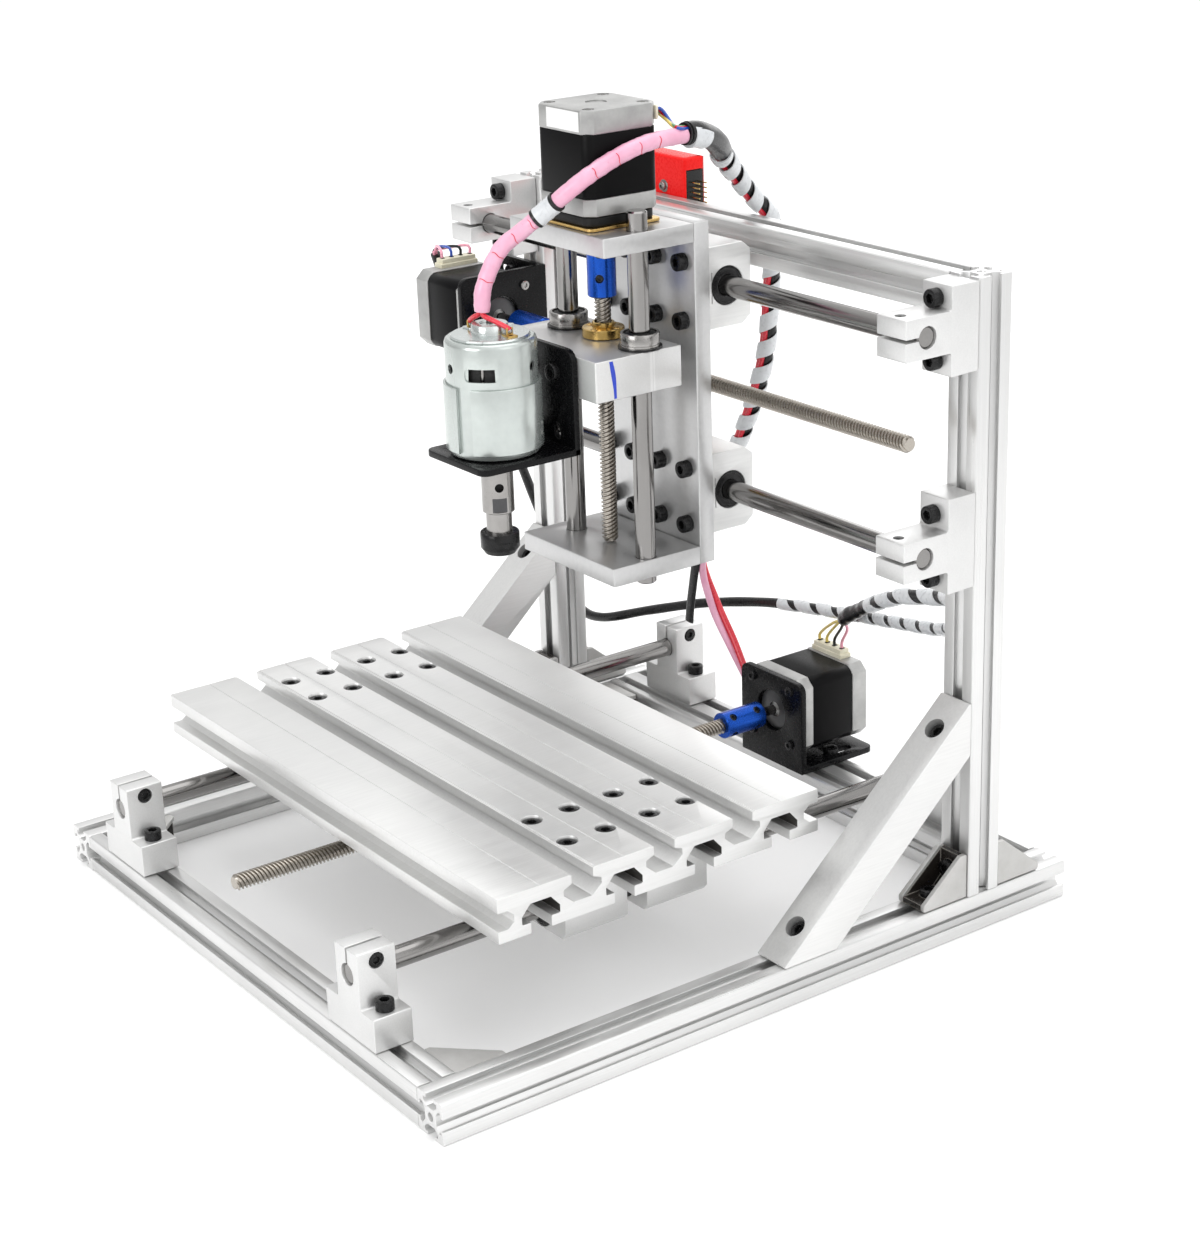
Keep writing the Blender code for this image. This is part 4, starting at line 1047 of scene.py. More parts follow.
low, high = node_box("y_motor_bracket")
motor_bracket("y_motor_bracket", ((low[0] + high[0]) / 2, low[1] + 1.75, low[2]), ((1, 0, 0), (0, 0, 1), (0, -1, 0)), 25.2, high[2] - low[2], high[1] - low[1], YM[2] - low[2], BLACK_OXIDE)
low, high = node_box("x_motor_bracket")
motor_bracket("x_motor_bracket", (high[0] - 1.75, high[1], (low[2] + high[2]) / 2), ((0, 0, 1), (0, -1, 0), (1, 0, 0)), (high[2] - low[2]) / 2, high[1] - low[1], high[0] - low[0], high[1] - XM[1], BRIGHT)

# ---------------------------------------------------------------- control box
low, high = node_box("control_box")
bx = (low[0], high[0] - 3.5)
box_parts = []
outline = rounded(rect(bx[0], low[1], bx[1], high[1] - 1.9), {0: 2.6, 1: 2.6, 2: 0.5, 3: 0.5}, 4)
shell = prism("shell", [outline], high[2] - low[2], (0, 0, (low[2] + high[2]) / 2), Z_UP, RED, None, 1.6, None, 30, 3)
window = box("window", (bx[1] - 9.0, bx[1] + 2.0), (low[1] + 1.6, high[1] + 1.0), (low[2] + 14.0, high[2] - 6.5), RED, None, 0.0)
recess = box("recess", (bx[0] + 12.0, bx[1] - 15.0), (high[1] - 3.4, high[1] + 1), (low[2] + 12.0, high[2] - 12.0), RED, None, 0.3)
cut(shell, [window, recess])
box_parts.append(dressed(shell, RED))
box_parts.append(dressed(box("board", (bx[0] + 0.6, bx[1] - 2.0), (high[1] - 1.7, high[1]), (low[2] + 0.8, high[2] - 0.8), GREEN_BOARD, None, 0.15), GREEN_BOARD))
box_parts.append(dressed(box("header", (bx[1] - 8.8, bx[1] - 0.2), (low[1] + 1.9, high[1] - 1.9), (low[2] + 14.6, high[2] - 7.0), BLACK_CABLE, None, 0.3), BLACK_CABLE))
for k in range(12):
    z = low[2] + 17.6 + k * 2.54
    for j in (0, 1):
        y = low[1] + 4.2 + j * 4.6
        box_parts.append(dressed(box("pin", (bx[1] - 2.0, high[0] + 4.0), (y - 0.32, y + 0.32), (z - 0.32, z + 0.32), BRASS, None, 0.08), BRASS))
for x, z in ((bx[1] - 17.0, low[2] + 42.0), (bx[0] + 8.0, low[2] + 42.0)):
    box_parts.append(washer((x, low[1] + 0.1, z), (0, -1, 0), 3.3, 1.5, 0.6, BRIGHT))
    box_parts.append(screw_head((x, low[1] - 0.4, z), (0, -1, 0), 2.3, 1.7, 0.9, BRIGHT))
made = joined("control_box_case", box_parts, "frame")
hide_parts("control_box")

# ---------------------------------------------------------------- cable clip
low, high = node_box("cable_clip")
clip = [dressed(box("clip", (low[0], high[0]), (low[1], high[1]), (low[2], high[2]), RUBBER, None, 1.5), RUBBER)]
for z in (147.5, 159.0):
    clip.append(dressed(box("strap", (low[0] + 3, high[0] - 3), (high[1] - 0.5, high[1] + 0.0), (z - 2.4, z + 2.4), BLACK_SHEET, None, 0.1), BLACK_SHEET))
made = joined("cable_clip_block", clip, "frame")
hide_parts("cable_clip")

# ---------------------------------------------------------------- table
low, high = node_box("table")
TY0, TY1, TZ0, TZ1 = low[1], high[1], low[2], high[2]
pitch = (TY1 - TY0) / 4


def table_section():
    z1, z0 = TZ1, TZ0
    pts, rad = [], {}

    def put(y, z, r=0.0):
        if r:
            rad[len(pts)] = r
        pts.append((y, z))

    put(TY0, z1, 0.5)
    for k in range(4):
        mid = TY0 + (k + 0.5) * pitch
        put(mid - 0.35, z1)
        put(mid, z1 - 0.35)
        put(mid + 0.35, z1)
        if k < 3:
            c = TY0 + (k + 1) * pitch
            put(c - 7.2, z1, 0.15)
            put(c - 7.0, z1 - 0.35, 0.1)
            put(c - 5.8, z1 - 0.35, 0.3)
            put(c - 5.8, z1 - 4.7, 0.3)
            put(c - 10.2, z1 - 6.3, 0.8)
            put(c - 10.2, z1 - 9.2, 0.8)
            put(c - 5.0, z1 - 13.6, 0.8)
            put(c + 5.0, z1 - 13.6, 0.8)
            put(c + 10.2, z1 - 9.2, 0.8)
            put(c + 10.2, z1 - 6.3, 0.8)
            put(c + 5.8, z1 - 4.7, 0.3)
            put(c + 5.8, z1 - 0.35, 0.3)
            put(c + 7.0, z1 - 0.35, 0.1)
            put(c + 7.2, z1, 0.15)
    put(TY1, z1, 0.5)
    for y, z, r in ((TY1, 6.8, 0.4), (TY1 - 5.0, 6.8, 0.3), (TY1 - 8.5, 9.5, 0.6), (TY1 - 8.5, 13.0, 0.6), (TY1 - 5.0, 15.6, 0.3), (TY1, 15.6, 0.4)):
        put(y, z1 - z, r)
    put(TY1, z0, 0.5)
    for k in (3, 2, 1, 0):
        c = TY0 + (k + 0.5) * pitch
        for y, z, r in ((5.4, z0, 0.4), (5.4, z0 + 5.2, 0.3), (10.0, z0 + 5.2, 0.6), (10.0, z0 + 9.0, 0.6), (5.4, z1 - 7.2, 0.8),
                        (-5.4, z1 - 7.2, 0.8), (-10.0, z0 + 9.0, 0.6), (-10.0, z0 + 5.2, 0.6), (-5.4, z0 + 5.2, 0.3), (-5.4, z0, 0.4)):
            put(c + y, z, r)
    put(TY0, z0, 0.5)
    for y, z, r in ((TY0, 15.6, 0.4), (TY0 + 5.0, 15.6, 0.3), (TY0 + 8.5, 13.0, 0.6), (TY0 + 8.5, 9.5, 0.6), (TY0 + 5.0, 6.8, 0.3), (TY0, 6.8, 0.4)):
        put(y, z1 - z, r)
    return rounded(pts, rad, 3)


table = prism("table_plate", [table_section()], high[0] - low[0], ((low[0] + high[0]) / 2, 0, 0), X_UP, TABLE_AL, None, 0.12, None, 24, 1)
cutters, heads = [], []
for side in ("left", "right"):
    for end in ("front", "rear"):
        cx, cy, _ = centre("table_bearing_block_%s_%s" % (end, side))
        for sx in (-14.05, 14.05):
            for sy in (-10.55, 10.55):
                p = (cx + sx, cy + sy, TZ1)
                cutters.append(plug((p[0], p[1], TZ1 + 1), (0, 0, -1), [(5.6, 0), (4.7, 2.2), (4.7, 9.0)]))
                heads.append(screw_head((p[0], p[1], TZ1 - 6.0), (0, 0, 1), 4.3, 5.2, 2.3, BLACK_OXIDE, sx + sy))
cut(table, cutters)
# the channel ceilings and inner walls take the near-black second material: painted shade inside the channels
for face in table.data.polygons:
    where = (table.matrix_world @ face.center - P(0, 0, 0)) / MM
    across = (where.y - TY0) % pitch - pitch / 2
    if abs(across) < 10.3 and TZ0 + 5.5 < where.z < TZ1 - 6.9 and face.normal.length and abs((table.matrix_world.to_3x3() @ face.normal).normalized().x) < 0.5:
        face.material_index = 1
finish_mesh(table, "table", [TABLE_AL, CHANNEL_PAINTED_SHADE], 24, "table")
joined("table_bolts", heads, "table")

# ---------------------------------------------------------------- bearing blocks
def seal(at, axis, r=9.4, hole=5.2, proud=0.5, mat=None):
    """Steel rim, black wiper and the gap round the rod."""
    steel = lathe("seal_rim", [(r, -2.0), (r, proud * 0.6), (r - 0.3, proud), (r - 1.1, proud), (r - 1.3, proud * 0.5), (r - 1.3, -2.0), (r, -2.0)], at, axis, None, None, 40)
    wiper = lathe("seal_wiper", [(r - 1.2, -2.0), (r - 1.2, proud * 0.3), (hole + 1.2, proud * 0.1), (hole + 0.15, proud * 0.8), (hole + 0.1, -2.0), (r - 1.2, -2.0)], at, axis, None, None, 40)
    return [dressed(steel, mat or BLACK_OXIDE), dressed(wiper, BLACK_OXIDE)]


for side in ("left", "right"):
    for end in ("front", "rear"):
        name = "table_bearing_block_%s_%s" % (end, side)
        low, high = node_box(name)
        c = centre(name)
        rz = centre("y_rod_" + side)[2]
        z0, z1 = low[2] - rz, high[2] - rz
        out = rounded([(-20, z0 + 3), (-17, z0), (17, z0), (20, z0 + 3), (20, z1), (-20, z1)], 0.8, 3)
        block = prism(name + "_body", [out, circle(0, 0, 9.5, 40)], high[1] - low[1], (c[0], c[1], rz), XZ_FRONT, MILLED, None, 0.4)
        finish_mesh(block, "table", MILLED, 30, name)
        parts = seal((c[0], low[1] + 1.0, rz), flipped(Y_UP)) + seal((c[0], high[1] - 1.0, rz), Y_UP)
        joined(name + "_seals", parts, "table")

low, high = node_box("y_nut")
rz = centre("y_lead_screw")[2]
out = rounded(rect(-15, low[2] - rz, 15, high[2] - rz), 1.2, 3)
block = prism("y_nut_housing", [out, circle(0, 0, 5.3, 32)], high[1] - low[1], ((low[0] + high[0]) / 2, (low[1] + high[1]) / 2, rz), XZ_FRONT, MILLED, None, 0.4)
finish_mesh(block, "table", MILLED, 30, "y_nut")
flange = [dressed(lathe("nut", [(4.3, -0.2), (11.0, -0.2), (11.0, 3.2), (10.6, 3.5), (5.6, 3.5), (5.4, 6.4), (4.3, 6.5), (4.3, -0.2)], ((low[0] + high[0]) / 2, low[1] + 0.3, rz), flipped(Y_UP), None, None, 40), BRASS)]
for k in range(4):
    a = math.radians(45 + 90 * k)
    flange.append(screw_head(((low[0] + high[0]) / 2 + 8.0 * math.cos(a), low[1] - 3.2, rz + 8.0 * math.sin(a)), (0, -1, 0), 1.9, 1.4, 1.0, BLACK_OXIDE))
joined("y_nut_flange", flange, "table")

# ---------------------------------------------------------------- x carriage
low, high = node_box("z_back_plate")
back = box("z_back_plate_body", (low[0], high[0]), (low[1], high[1]), (low[2], high[2]), PLATE, None, 0.5)
cutters, heads = [], []
for x in (33.4, 12.4, -8.3, -29.3):
    for z in (314.6, 286.2, 212.5, 184.5):
        heads.append(screw_head((x, low[1], z), (0, -1, 0), 4.25, 4.9, 2.4, BLACK_OXIDE, x * z))
finish_mesh(back, "x_carriage", PLATE, 50, "z_back_plate")
joined("z_back_plate_bolts", heads, "x_carriage")

rods = [(centre("z_rod_" + s)[0], centre("z_rod_" + s)[1]) for s in ("left", "right")]
for name in ("z_top_plate", "z_bottom_plate"):
    low, high = node_box(name)
    holes = [circle(x, y, 5.12, 36) for x, y in rods]
    if name == "z_top_plate":
        holes.append(circle(ZM[0], ZM[1], 11.8, 40))
    outline = rounded(rect(low[0], low[1], high[0], high[1]), {0: 0.8, 1: 0.8}, 3)
    obj = prism(name + "_body", [outline, *holes], high[2] - low[2], (0, 0, (low[2] + high[2]) / 2), Z_UP, PLATE, None, 0.45)
    finish_mesh(obj, "x_carriage", PLATE, 30, name)

for level in ("lower", "upper"):
    for tag in ("left", "right"):
        name = "x_bearing_block_%s_%s" % (level, tag)
        low, high = node_box(name)
        rod_c = centre("x_rod_" + level)
        y0, y1 = low[1] - rod_c[1], high[1] - rod_c[1]
        out = rounded([(y0, -20), (y1 - 5, -20), (y1, -16), (y1, 16), (y1 - 5, 20), (y0, 20)], 0.8, 3)
        obj = prism(name + "_body", [out, circle(0, 0, 9.5, 40)], high[0] - low[0], ((low[0] + high[0]) / 2, rod_c[1], rod_c[2]), X_UP, TABLE_AL, None, 0.5)
        if tag == "right":
            cut(obj, [box("slit", (high[0] - 1.2, high[0] + 1), (low[1] + 2.0, low[1] + 2.55), (rod_c[2] - 7.5, rod_c[2] + 7.5), HOLLOW_PAINTED_SHADE, None, 0)])
        finish_mesh(obj, "x_carriage", TABLE_AL, 30, name)
        parts = seal((low[0] + 1.0, rod_c[1], rod_c[2]), flipped(X_UP)) + seal((high[0] - 1.0, rod_c[1], rod_c[2]), X_UP)
        joined(name + "_seals", parts, "x_carriage")

low, high = node_box("x_nut")
sc = centre("x_lead_screw")
out = rounded([(low[1] - sc[1], -15), (high[1] - sc[1], -15), (high[1] - sc[1], 15), (low[1] - sc[1], 15)], 1.2, 3)
obj = prism("x_nut_housing", [out, circle(0, 0, 5.3, 32)], high[0] - low[0] - 5.0, ((low[0] + high[0] - 5.0) / 2, sc[1], sc[2]), X_UP, TABLE_AL, None, 0.4)
finish_mesh(obj, "x_carriage", TABLE_AL, 30, "x_nut")
flange = [dressed(lathe("nut", [(4.3, -0.2), (11.0, -0.2), (11.0, 3.2), (10.6, 3.5), (5.6, 3.5), (5.4, 6.4), (4.3, 6.5), (4.3, -0.2)], (high[0] - 5.3, sc[1], sc[2]), X_UP, None, None, 40), BRASS)]
for k in range(4):
    a = math.radians(45 + 90 * k)
    flange.append(screw_head((high[0] - 1.8, sc[1] + 8.0 * math.cos(a), sc[2] + 8.0 * math.sin(a)), (1, 0, 0), 1.9, 1.4, 1.0, BLACK_OXIDE))
joined("x_nut_flange", flange, "x_carriage")

# ---------------------------------------------------------------- z carriage
low, high = node_box("z_carriage_block")
ring_top = high[2]
block_top = ring_top - 8.0
nut_c = centre("z_nut")
holes = [circle(x, y, 9.55, 40) for x, y in rods] + [circle(nut_c[0], nut_c[1], 5.5, 32)]
outline = rounded(rect(low[0], low[1], high[0], high[1]), 0.9, 3)
obj = prism("z_carriage_block_body", [outline, *holes], block_top - low[2], (0, 0, (low[2] + block_top) / 2), Z_UP, MILLED, None, 0.5)
finish_mesh(obj, "z_carriage", MILLED, 30, "z_carriage_block")
parts = []
for x, y in rods:
    # linear bearing: steel shell with a groove, black clip and wiper
    parts.append(dressed(lathe("bearing", [(9.5, low[2] + 0.5), (9.5, block_top + 0.1), (9.5, block_top + 2.2), (9.15, block_top + 2.3), (9.15, block_top + 3.1), (9.5, block_top + 3.2), (9.5, ring_top - 0.8), (9.2, ring_top - 0.3),
                                           (8.1, ring_top - 0.3), (8.0, ring_top - 1.2), (8.0, low[2] + 0.5), (9.5, low[2] + 0.5)], (x, y, 0), "z", None, None, 44), BRIGHT))
    parts.append(dressed(lathe("clip", [(9.3, block_top + 0.15), (10.6, block_top + 0.15), (10.6, block_top + 1.15), (9.3, block_top + 1.15), (9.3, block_top + 0.15)], (x, y, 0), "z", None, None, 44), BLACK_OXIDE))
    parts.append(dressed(lathe("wiper", [(8.05, low[2] + 1), (8.05, ring_top - 1.1), (6.4, ring_top - 0.9), (5.15, ring_top - 0.3), (5.12, low[2] + 1), (8.05, low[2] + 1)], (x, y, 0), "z", None, None, 40), RUBBER))
joined("z_bearings", parts, "z_carriage")
# ink stroke on the +x face
stroke = []
for k in range(13):
    t = k / 12
    y = 195.3 + 2.0 * t + 0.5 * math.sin(t * 3)
    z = block_top - 0.8 - t * (block_top - low[2] - 1.6)
    stroke.append((y, z, 1.0 + 0.25 * math.sin(5 * t)))
left = [(y - w, z) for y, z, w in stroke]
right = [(y + w, z) for y, z, w in reversed(stroke)]
obj = prism("ink_stroke", [left + right], 0.06, (high[0] + 0.03, 0, 0), X_UP, INK, "z_carriage", 0.0)

low, high = node_box("z_nut")
base = block_top + 0.3
parts = [dressed(lathe("flange", [(4.35, base - 12), (5.2, base - 12), (5.2, base), (10.0, base), (10.3, base + 0.3), (10.3, base + 4.2), (10.0, base + 4.6), (6.0, base + 4.6), (5.4, base + 4.9), (5.4, base + 6.9), (5.1, base + 7.2), (4.35, base + 7.2), (4.35, base - 12)],
                         (nut_c[0], nut_c[1], 0), "z", None, None, 48, None, 25), BRASS)]
for k in range(4):
    a = math.radians(20 + 90 * k)
    parts.append(screw_head((nut_c[0] + 7.9 * math.cos(a), nut_c[1] + 7.9 * math.sin(a), base + 4.5), (0, 0, 1), 1.8, 0.5, 0.95, BRASS))
made = joined("z_nut_body", parts, "z_carriage")
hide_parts("z_nut")

# spindle bracket: folded sheet with rounded upper corners, slot and bolts
low, high = node_box("spindle_bracket")
sp = centre("spindle_motor")
bed = rounded([(low[0], low[1]), (high[0], low[1]), (high[0], high[1]), (low[0], high[1])], {0: 5.0, 1: 5.0}, 6)
parts = [dressed_prism("bed", [bed, circle(sp[0], sp[1], 8.6, 36)], 3.2, (0, 0, low[2] + 1.6), Z_UP, BLACK_SHEET, 0.4)]
wall = rounded([(low[0], low[2] + 0.2), (high[0], low[2] + 0.2), (high[0], high[2]), (low[0], high[2])], {2: 6.5, 3: 6.5}, 6)
parts.append(dressed_prism("wall", [wall, slot_outline(17.0, 241.0, 8.0, 2.3)], 3.0, (0, high[1] - 1.5, 0), XZ_FRONT, BLACK_SHEET, 0.4))
for x in (16.5, -4.0):
    parts.append(screw_head((x, high[1] - 3.0, 269.4), (0, -1, 0), 4.3, 2.9, 2.4, BLACK_OXIDE, x))
parts.append(screw_head((17.0, high[1] - 1.2, 241.5), (0, -1, 0), 2.0, 0.8, 1.0, BRIGHT, 0.3))
made = joined("spindle_bracket_sheet", parts, "z_carriage")
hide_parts("spindle_bracket")

# ---------------------------------------------------------------- spindle motor
low, high = node_box("spindle_motor")
z0 = low[2]
parts = []
# flux ring: rolled sheet sleeve with a seam, round the lower two thirds
seam = math.radians(-70)
n = 72
outer = [(23.2 * math.cos(seam + 0.18 + (2 * math.pi - 0.36) * k / n), 23.2 * math.sin(seam + 0.18 + (2 * math.pi - 0.36) * k / n)) for k in range(n + 1)]
inner = [(21.8 * math.cos(seam + 0.18 + (2 * math.pi - 0.36) * k / n), 21.8 * math.sin(seam + 0.18 + (2 * math.pi - 0.36) * k / n)) for k in range(n, -1, -1)]
parts.append(dressed_prism("ring", [outer + inner], 31.5, (sp[0], sp[1], z0 + 3.0 + 31.5 / 2), Z_UP, CAN, 0.3))
can = lathe("can", [(8.0, 0.0), (19.6, 0.0), (21.2, 0.6), (21.75, 1.8), (21.75, 53.2), (21.3, 54.6), (20.3, 55.4), (8.0, 55.4), (8.0, 54.2), (20.4, 54.0), (20.6, 30.0), (8.0, 29.5), (8.0, 0.0)], (sp[0], sp[1], z0), "z", None, None, 72, None, 24)
cutters = []
for turn in (-47, 133):
    a = math.radians(turn)
    d = Vector((math.cos(a), math.sin(a), 0))
    side_v = Vector((-d.y, d.x, 0))
    c = Vector((sp[0], sp[1], z0 + 41.2)) + d * 24
    # rounded window through the wall
    axes = (tuple(side_v), (0, 0, 1), tuple(-(d)))
    if matrix3(axes).determinant() < 0:
        axes = (tuple(-side_v), (0, 0, 1), tuple(-(d)))
    cutters.append(prism("cutter", [rounded(rect(-8.0, -3.1, 8.0, 3.1), 1.8, 4)], 9.0, c, axes, CAN, None, 0.0))
for turn in (-95, 27, 85, 207):
    a = math.radians(turn)
    d = Vector((math.cos(a), math.sin(a), 0))
    cutters.append(plug(Vector((sp[0], sp[1], z0 + 42.6)) + d * 24, -d, [(2.3, 0), (2.3, 6.0)]))
cut(can, cutters)
parts.append(dressed(can, CAN))
# a near-black drum inside the can, seen through the windows: painted shade
parts.append(dressed(lathe("core", [(3.0, 34.0), (18.4, 34.0), (18.4, 49.0), (3.0, 49.0)], (sp[0], sp[1], z0), "z", None, None, 48), HOLLOW_PAINTED_SHADE))
for turn in (-47, 133):
    a = math.radians(turn)
    parts.append(dressed(box("magnet_edge", (sp[0] + 18.2 * math.cos(a) - 0.9, sp[0] + 18.2 * math.cos(a) + 0.9), (sp[1] + 18.2 * math.sin(a) - 0.9, sp[1] + 18.2 * math.sin(a) + 0.9), (z0 + 36, z0 + 48), BRIGHT, None, 0.3), BRIGHT))
# end plate with its raised bearing boss, shaft end, tabs and terminals
parts.append(dressed(lathe("end", [(2.6, 55.2), (18.6, 55.2), (18.8, 55.9), (18.2, 56.6), (11.0, 57.0), (9.0, 57.2), (8.7, 60.6), (8.2, 61.3), (4.8, 61.5), (4.6, 60.8), (2.6, 60.7)], (sp[0], sp[1], z0), "z", None, None, 56, None, 28), CAN_TOP))
parts.append(dressed(lathe("shaft_end", [(1.5, 59.8), (1.6, 62.5), (1.3, 62.8)], (sp[0], sp[1], z0), "z", None, None, 24), BRIGHT))
for turn in (-57, 123):
    a = math.radians(turn)
    d = Vector((math.cos(a), math.sin(a), 0))
    side_v = (-d.y, d.x, 0)
    c = Vector((sp[0], sp[1], z0 + 56.2)) + d * 17.6
    parts.append(dressed_prism("tab", [rounded(rect(-4.4, -1.6, 4.4, 1.6), 1.1, 4)], 1.2, c, (side_v, tuple(-d), (0, 0, 1)) if matrix3((side_v, tuple(-d), (0, 0, 1))).determinant() > 0 else (tuple(-Vector(side_v)), tuple(-d), (0, 0, 1)), CAN_TOP, 0.3))
TERMINALS = []
for turn in (190, 10):
    a = math.radians(turn)
    d = Vector((math.cos(a), math.sin(a), 0))
    side_v = (-d.y, d.x, 0)
    c = Vector((sp[0], sp[1], z0 + 58.4)) + d * 13.2
    TERMINALS.append(c)
    axes = (side_v, (0, 0, 1), tuple(d))
    if matrix3(axes).determinant() < 0:
        axes = (tuple(-Vector(side_v)), (0, 0, 1), tuple(d))
    parts.append(dressed_prism("terminal", [rounded(rect(-2.0, -2.4, 2.0, 2.6), 0.6, 3), circle(0, 0.9, 0.75, 12)], 0.7, c, axes, BRASS, 0.15))
    foot_c = c + Vector((0, 0, -1.6))
    parts.append(dressed_prism("base", [rounded(rect(-3.4, -2.6, 3.4, 2.6), 0.7, 3)], 1.5, foot_c, Z_UP, BRASS if turn == 10 else CAN_TOP, 0.3))
made = joined("spindle_motor_body", parts, "z_carriage")
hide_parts("spindle_motor")

# ---------------------------------------------------------------- collet chuck
low, high = node_box("collet_chuck")
c = (sp[0], sp[1], low[2])
sleeve = lathe("sleeve", [(2.6, 50.9), (5.0, 50.9), (5.2, 48.9), (7.3, 48.9), (7.75, 48.4), (7.75, 21.9), (7.3, 21.5), (2.0, 21.5)][::-1], c, "z", None, None, 48, None, 28)
FACE = math.radians(-27)
out = Vector((math.cos(FACE), math.sin(FACE), 0))
hole = plug(Vector(c) + out * 9.5 + Vector((0, 0, 34.8)), -out, [(2.2, 0), (2.2, 6.0)])
flat = prism("flat", [rect(-6, -3.6, 6, 3.6)], 4.0, Vector(c) + out * 8.7 + Vector((0, 0, 26.0)), (tuple(Vector((-out.y, out.x, 0))), (0, 0, 1), tuple(out)), BRIGHT, None, 0.0)
cut(sleeve, [hole, flat])
parts = [dressed(sleeve, BRIGHT)]
# a dark face on the ground flat: painted shade
parts.append(dressed_prism("flat_face", [rounded(rect(-3.5, -3.5, 3.5, 3.5), 0.2, 2)], 0.2, Vector(c) + out * 6.72 + Vector((0, 0, 26.0)), (tuple(Vector((-out.y, out.x, 0))), (0, 0, 1), tuple(out)), PILOT_PAINTED_SHADE, 0.04))
# a near-black disc down the set-screw hole: painted shade
parts.append(dressed_prism("hole_face", [circle(0, 0, 2.15, 20)], 0.2, Vector(c) + out * 4.2 + Vector((0, 0, 34.8)), (tuple(Vector((-out.y, out.x, 0))), (0, 0, 1), tuple(out)), HOLLOW_PAINTED_SHADE, 0.0))
parts.append(dressed(lathe("neck", [(2.0, 11.2), (6.2, 11.2), (6.2, 21.6), (2.0, 21.6)], c, "z", None, None, 40), BRIGHT))
nut_rings = []
nn = 48


def nut_ring(r, flats):
    """Circle with two flats ground on it."""
    out = []
    for k in range(nn):
        a = 2 * math.pi * k / nn
        x, y = r * math.cos(a), r * math.sin(a)
        if flats:
            y = max(-flats, min(flats, y))
        out.append((x, y))
    return out


for r, h, f in ((1.7, 6.0, None), (1.7, 0.6, None), (5.0, 0.05, None), (7.4, 0.9, None), (9.0, 3.2, None), (9.45, 3.9, None), (9.45, 7.2, None), (9.45, 7.4, 8.6), (9.45, 10.9, 8.6), (9.1, 11.4, 8.6), (6.0, 11.5, None)):
    nut_rings.append((nut_ring(r, f), h))
parts.append(dressed(loft("nut", nut_rings, c, axes_to((0, 0, 1), math.radians(30)), None, None, angle=30), BLACK_OXIDE))
made = joined("collet_chuck_body", parts, "chuck")
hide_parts("collet_chuck")

# ---------------------------------------------------------------- cables
TIE = Vector((32.0, 251.0, 373.6))
TIE_DIR = Vector((-0.16, 0.97, -0.12)).normalized()
SPINDLE_ROUTE = [(4.0, 152.6, 301.2), (4.2, 154.2, 313.0), (5.0, 163.2, 328.3), (8.0, 174.5, 336.6), (15.0, 182.6, 345.0), (23.5, 187.6, 353.0),
                 (30.8, 196.0, 361.5), (33.4, 212.0, 369.0), (33.6, 230.0, 373.2), TIE]
CARRIAGE_ROUTE = [TIE + TIE_DIR * 1.4, TIE + TIE_DIR * 10.0, (22.0, 276.0, 366.0), (7.0, 295.0, 353.5), (-1.0, 316.0, 333.5), (-1.0, 330.5, 318.0),
                  (-6.0, 336.0, 300.0), (-10.0, 336.5, 280.0), (-12.0, 336.0, 253.0), (-17.5, 334.0, 228.0), (-32.0, 333.0, 196.0), (-58.0, 336.0, 158.0), (-77.0, 341.0, 118.0),
                  (-72.0, 345.0, 90.0), (-58.0, 347.0, 68.0), (-45.0, 348.0, 48.0), (-40.0, 349.0, 32.0), (-39.5, 349.5, 31.0), (-39.5, 349.5, 20.5)]
Y_ROUTE = [(-3.0, 374.0, 82.0), (1.0, 373.0, 87.0), (15.0, 365.5, 101.0), (30.7, 362.0, 110.5), (43.0, 358.0, 117.6), (65.0, 352.0, 128.5), (81.0, 348.0, 135.3), (113.0, 343.0, 144.5),
           (137.0, 331.0, 154.5), (151.0, 327.0, 159.0), (160.5, 327.0, 159.0)]
X_ROUTE = [(-213.5, 262.0, 281.5), (-218.0, 264.5, 283.0), (-222.5, 269.0, 275.0), (-222.5, 276.0, 255.0), (-219.0, 288.0, 220.0), (-216.0, 306.0, 170.0), (-214.0, 327.0, 110.0),
           (-211.0, 337.0, 74.0), (-198.0, 341.0, 54.0), (-176.0, 342.0, 53.0), (-140.0, 350.0, 65.5), (-100.0, 360.0, 78.7), (-62.0, 370.0, 87.3), (-34.0, 374.5, 91.6),
           (8.0, 374.5, 98.5), (58.0, 364.0, 110.5), (107.0, 349.0, 124.5), (137.0, 331.0, 141.5), (151.0, 327.0, 147.5), (160.5, 327.0, 147.5)]


def arc(line):
    return sum((b - a).length for a, b in zip(line, line[1:]))


def part_of(line, s0, s1):
    """The stretch of a line between two arc lengths; a negative one counts from its far end."""
    total = arc(line)
    s0, s1 = (s + total if s < 0 else s for s in (s0, s1))
    out, walked = [], 0.0
    for a, b in zip(line, line[1:]):
        seg = (b - a).length
        for s in (s0, s1):
            if walked <= s < walked + seg or (s >= total and b is line[-1] and not out):
                out.append(a.lerp(b, min(1.0, (s - walked) / seg))) if not (out and s == s0) else None
        walked += seg
        if s0 < walked < s1:
            out.append(b)
    return out


def nearest_arc(line, point):
    best, walked, found = 1e9, 0.0, 0.0
    for a, b in zip(line, line[1:]):
        d = (a - Vector(point)).length
        if d < best:
            best, found = d, walked
        walked += (b - a).length
    return found


def shifted(line, reference, side, up):
    """The line moved sideways by its own frame."""
    return [p + u * side + v * up for p, (t, u, v) in zip(line, frames(line))]


